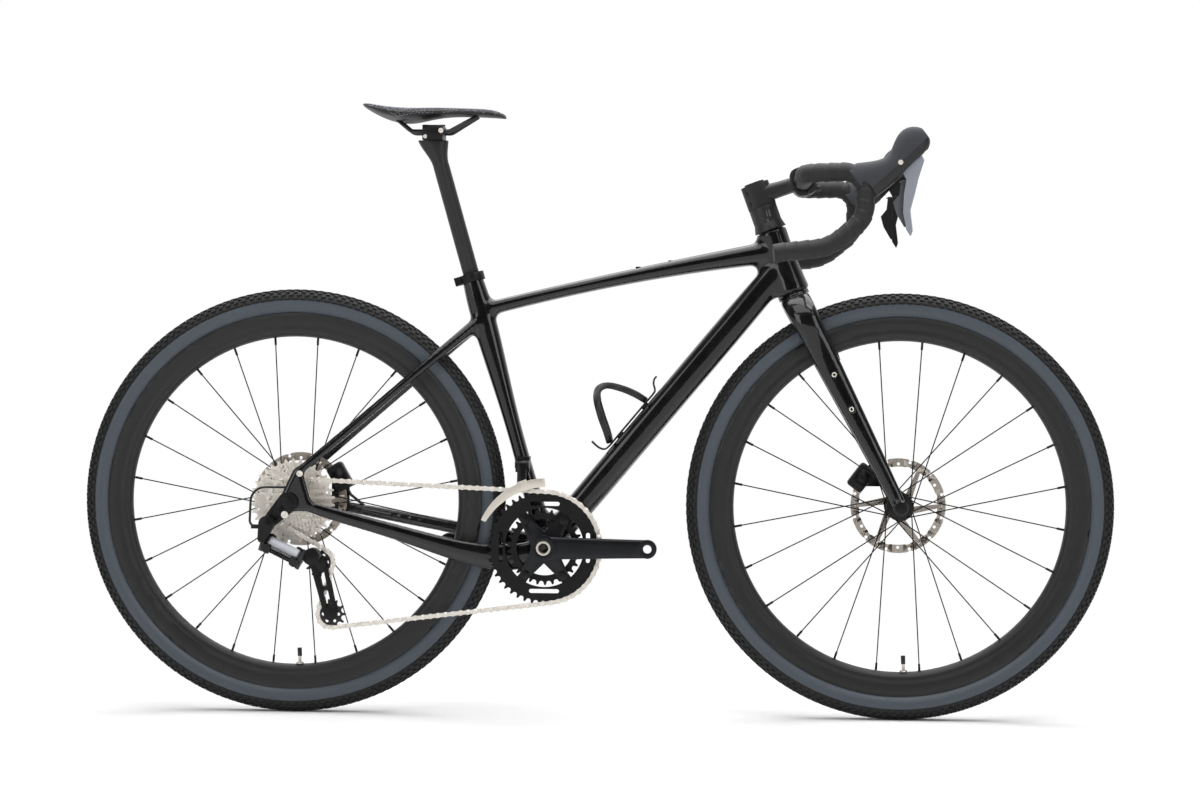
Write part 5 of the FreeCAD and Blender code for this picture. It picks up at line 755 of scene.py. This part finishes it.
def makeSaddle():
    pad = copyNodes("saddle-pad", "saddle")
    remesh(pad, saddleShape["voxel"])
    relax(pad, saddleShape["smooth"])
    grow(pad, -saddleShape["sink"])  # room for the honeycomb
    smoothShade(pad, angle=60)
    cell = saddleShape["cell"]
    rise = math.sqrt(3) * cell
    low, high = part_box("saddle")
    girth = (high.y - low.y) * saddleShape["girthShare"]  # round the section, longer than its width
    rows = 2 * int(girth / rise / 2) + 1
    pair = []
    for x, y in ((0, 0), (1.5 * cell, rise / 2)):
        bpy.ops.object.select_all(action="DESELECT")
        bpy.ops.mesh.primitive_circle_add(vertices=6, radius=cell, fill_type="NGON",
                                          location=(low.x + x, y - rise * (rows - 1) / 2, 0))
        bpy.ops.object.transform_apply(location=True)
        pair.append(bpy.context.object)
    mesh = joinPieces("saddle-honeycomb", pair)
    columns = int((high.x - low.x) / (3 * cell)) + 1
    for count, step in ((columns, (3 * cell, 0, 0)), (rows, (0, rise, 0))):
        applyModifier(mesh, "ARRAY", count=count, use_relative_offset=False, use_constant_offset=True,
                      constant_offset_displace=step)
    mergeDoubles(mesh, cell * saddleShape["weldShare"])
    bpy.ops.object.mode_set(mode="EDIT")
    bpy.ops.mesh.select_mode(type="VERT")
    bpy.ops.mesh.select_all(action="DESELECT")
    bpy.ops.object.mode_set(mode="OBJECT")
    sections = {}
    for vertex in mesh.data.vertices:
        side = -1 if vertex.co.y < 0 else 1
        key = (round(vertex.co.x / mm, 2), side)
        if key not in sections:
            sections[key] = crownLine(pad, vertex.co.x, side, low.z)
        place = runAlong(sections[key], abs(vertex.co.y))
        vertex.select = place is None
        if place:
            vertex.co = place[0] + place[1] * saddleShape["lift"]
    pick(mesh)
    bpy.ops.object.mode_set(mode="EDIT")
    bpy.ops.mesh.delete(type="VERT")
    bpy.ops.object.mode_set(mode="OBJECT")
    applyModifier(mesh, "WIREFRAME", thickness=saddleShape["wire"], use_even_offset=True)
    smoothShade(mesh, angle=60)
    settle(pad, "saddle", saddlePolymer, "saddle_cover", "saddle")
    settle(mesh, "saddle", honeycomb, "saddle_cover")
    print("saddle honeycomb,", len(mesh.data.polygons), "faces")


makeSaddle()

# Bar tape wound along the bar, each turn lapping the last
barShape = {"centre": Vector((0.3433338, 0, 0.8998784)), "start": 86.0, "reach": 98.0, "half": 207.0,
            "drop": 130.0, "back": 50.0, "flare": 30.0}
barShares = [(0.0, 1.0, 0.0), (1.0, 1.04, 0.02), (0.96, 1.07, -0.57), (0.4, 1.1, -0.92)]  # corners
barBends = [42.0, 34.0, 45.0, 80.0]  # radius at each corner in mm
tapeShape = {"radius": 14.5, "ridge": 1.4, "pitch": 19.0, "step": 1.6, "roundness": 6}


def barPath(side):
    points = [Vector((0, side * barShape["start"], 0))]
    for x, y, z in barShares:
        points.append(Vector((barShape["reach"] * x, side * barShape["half"] * y, barShape["drop"] * z)))
    end = barShape["half"] + barShape["flare"]
    points.append(Vector((-barShape["back"], side * end, -barShape["drop"])))
    path = [points[0]]

    def runTo(spot):
        here = path[-1]
        count = max(1, round((spot - here).length / tapeShape["step"]))
        path.extend(here.lerp(spot, (i + 1) / count) for i in range(count))

    for before, corner, after, radius in zip(points, points[1:], points[2:], barBends):
        inward = (corner - before).normalized()
        outward = (after - corner).normalized()
        turn = inward.angle(outward)
        setback = radius * math.tan(turn / 2)
        centre = corner + (outward - inward).normalized() * radius / math.cos(turn / 2)
        runTo(corner - inward * setback)
        spoke = path[-1] - centre
        axis = inward.cross(outward).normalized()
        count = max(2, round(radius * turn / tapeShape["step"]))
        path.extend(centre + Matrix.Rotation(turn * (i + 1) / count, 3, axis) @ spoke for i in range(count))
    runTo(points[-1])
    return path


def makeTape():
    turns = []
    for side in (-1, 1):
        path = barPath(side)
        curve = bpy.data.curves.new("tape", "CURVE")
        curve.dimensions = "3D"
        curve.bevel_depth = tapeShape["radius"] * mm
        curve.bevel_resolution = tapeShape["roundness"]
        curve.use_fill_caps = True
        line = curve.splines.new("POLY")
        line.points.add(len(path) - 1)
        for point, spot in zip(line.points, path):
            point.co = (*(barShape["centre"] + spot * mm), 1)
        wound = bpy.data.objects.new("tape", curve)
        bpy.context.scene.collection.objects.link(wound)
        pick(wound)
        bpy.ops.object.convert(target="MESH")
        wound = bpy.context.object
        around = len(wound.data.vertices) // len(path)
        travel = 0.0
        for ring, spot in enumerate(path):
            if ring:
                travel += (spot - path[ring - 1]).length
            middle = barShape["centre"] + spot * mm
            for i in range(around):
                vertex = wound.data.vertices[ring * around + i]
                lap = (travel / tapeShape["pitch"] + i / around) % 1.0
                out = (vertex.co - middle).normalized()
                vertex.co += out * (tapeShape["ridge"] * (1 - lap) * mm)
        turns.append(wound)
    tape = joinPieces("bar-tape-wound", turns)
    smoothShade(tape, angle=50)
    settle(tape, "fork", tapeFoam, "bar_wrap", "bar_tape")
    print("bar tape,", len(tape.data.polygons), "faces")


makeTape()

# Camera at the photograph's angle, level, a touch towards the front
view = {"yaw": 2.97, "pitch": 0.6, "roll": 0.476, "distance": 4.716, "target": Vector((0.0058, 0, 0.5312)),
        "widthAtTarget": 2.0203, "sensor": 36.0}


def makeCamera():
    yaw = math.radians(view["yaw"])
    pitch = math.radians(view["pitch"])
    back = Vector((math.sin(yaw) * math.cos(pitch), -math.cos(yaw) * math.cos(pitch), math.sin(pitch)))
    camera = bpy.data.objects.new("Camera", bpy.data.cameras.new("Camera"))
    bpy.context.scene.collection.objects.link(camera)
    camera.data.sensor_width = view["sensor"]
    camera.data.lens = view["sensor"] * view["distance"] / view["widthAtTarget"]
    level = (-back).to_track_quat("-Z", "Y").to_matrix().to_4x4()
    spin = Matrix.Rotation(math.radians(view["roll"]), 4, "Z")
    camera.matrix_world = Matrix.Translation(view["target"] + back * view["distance"]) @ level @ spin
    bpy.context.scene.camera = camera


# Pale floor, white surround and four soft lamps
studio = {"floor": "fafafa", "floorSize": 40.0, "floorRough": 0.9, "near": 0.95, "far": 1.5, "darkSide": 0.03,
          "darkTo": -0.5, "lightFrom": 0.6, "fill": 0.35}
lamps = [
    # name, place, aim, width and height in metres, watts
    ("overhead", (0.1, 0.3, 2.8), (0, 0, 0.1), 3.6, 2.6, 100),
    ("topFront", (0.1, -1.5, 2.7), (0, 0, 0.5), 3.6, 1.3, 34),
    ("nearLeft", (-2.6, -3.6, 1.7), (-0.1, 0, 0.5), 1.8, 2.4, 34),
    ("nearRight", (2.8, -3.4, 1.9), (0.1, 0, 0.5), 1.6, 2.4, 30),
]


def seenRays(tree):  # 1 where the ray shows the background, 0 where it only carries light
    path = addNode(tree, "LightPath")
    mirrored = addNode(tree, "Math", {"operation": "MAXIMUM"}, None,
                       {0: path.outputs["Is Glossy Ray"], 1: path.outputs["Is Transmission Ray"]})
    return addNode(tree, "Math", {"operation": "MAXIMUM"}, None,
                   {0: path.outputs["Is Camera Ray"], 1: mirrored.outputs[0]}).outputs[0]


def makeStudio():
    bpy.ops.object.select_all(action="DESELECT")
    bpy.ops.mesh.primitive_plane_add(size=studio["floorSize"], location=(0, 0, 0))
    floor = bpy.context.object
    floor.name = "floor"
    paper, tree, shader, place = newFinish("palePaper", studio["floorRough"])
    shader.inputs["Base Color"].default_value = linear(studio["floor"])
    shader.inputs["Specular IOR Level"].default_value = 0.0
    away = addNode(tree, "VectorMath", {"operation": "LENGTH"}, None, {0: place})
    fade = addNode(tree, "MapRange", {"interpolation_type": "SMOOTHSTEP"},
                   {"From Min": studio["near"], "From Max": studio["far"]}, {"Value": away.outputs["Value"]})
    white = addNode(tree, "Math", {"operation": "MULTIPLY"}, None, {0: fade.outputs[0], 1: seenRays(tree)})
    glow = addNode(tree, "Emission", None, {"Strength": 1.0})
    sweep = addNode(tree, "MixShader", None, None,
                    {0: white.outputs[0], 1: shader.outputs[0], 2: glow.outputs[0]})
    tree.links.new(sweep.outputs[0], tree.nodes["Material Output"].inputs["Surface"])
    floor.data.materials.append(paper)
    for name, spot, aim, width, height, watts in lamps:
        lamp = bpy.data.lights.new(name, "AREA")
        lamp.shape = "RECTANGLE"
        lamp.size = width
        lamp.size_y = height
        lamp.energy = watts
        holder = bpy.data.objects.new(name, lamp)
        bpy.context.scene.collection.objects.link(holder)
        holder.location = spot
        holder.rotation_euler = (Vector(aim) - Vector(spot)).to_track_quat("-Z", "Y").to_euler()
    world = bpy.data.worlds.new("surround")
    bpy.context.scene.world = world
    world.use_nodes = True
    tree = world.node_tree
    way = addNode(tree, "SeparateXYZ", None, None, {0: addNode(tree, "TexCoord").outputs["Generated"]})
    room = addNode(tree, "MapRange", {"interpolation_type": "SMOOTHSTEP"},
                   {"From Min": studio["darkTo"], "From Max": studio["lightFrom"],
                    "To Min": studio["darkSide"], "To Max": 1.0}, {"Value": way.outputs["Y"]})
    fill = addNode(tree, "Math", {"operation": "MULTIPLY"}, {1: studio["fill"]}, {0: room.outputs[0]})
    mirror = addNode(tree, "Mix", {"data_type": "FLOAT"}, None,
                     {0: seenRays(tree), 2: fill.outputs[0], 3: room.outputs[0]})
    level = addNode(tree, "Mix", {"data_type": "FLOAT"}, {3: 1.0},
                    {0: addNode(tree, "LightPath").outputs["Is Camera Ray"], 2: mirror.outputs[0]})
    tree.links.new(level.outputs[0], tree.nodes["Background"].inputs["Strength"])
    tree.nodes["Background"].inputs["Color"].default_value = (1, 1, 1, 1)
    bpy.context.scene.view_settings.view_transform = "Standard"


makeCamera()
makeStudio()
print("camera and studio set")
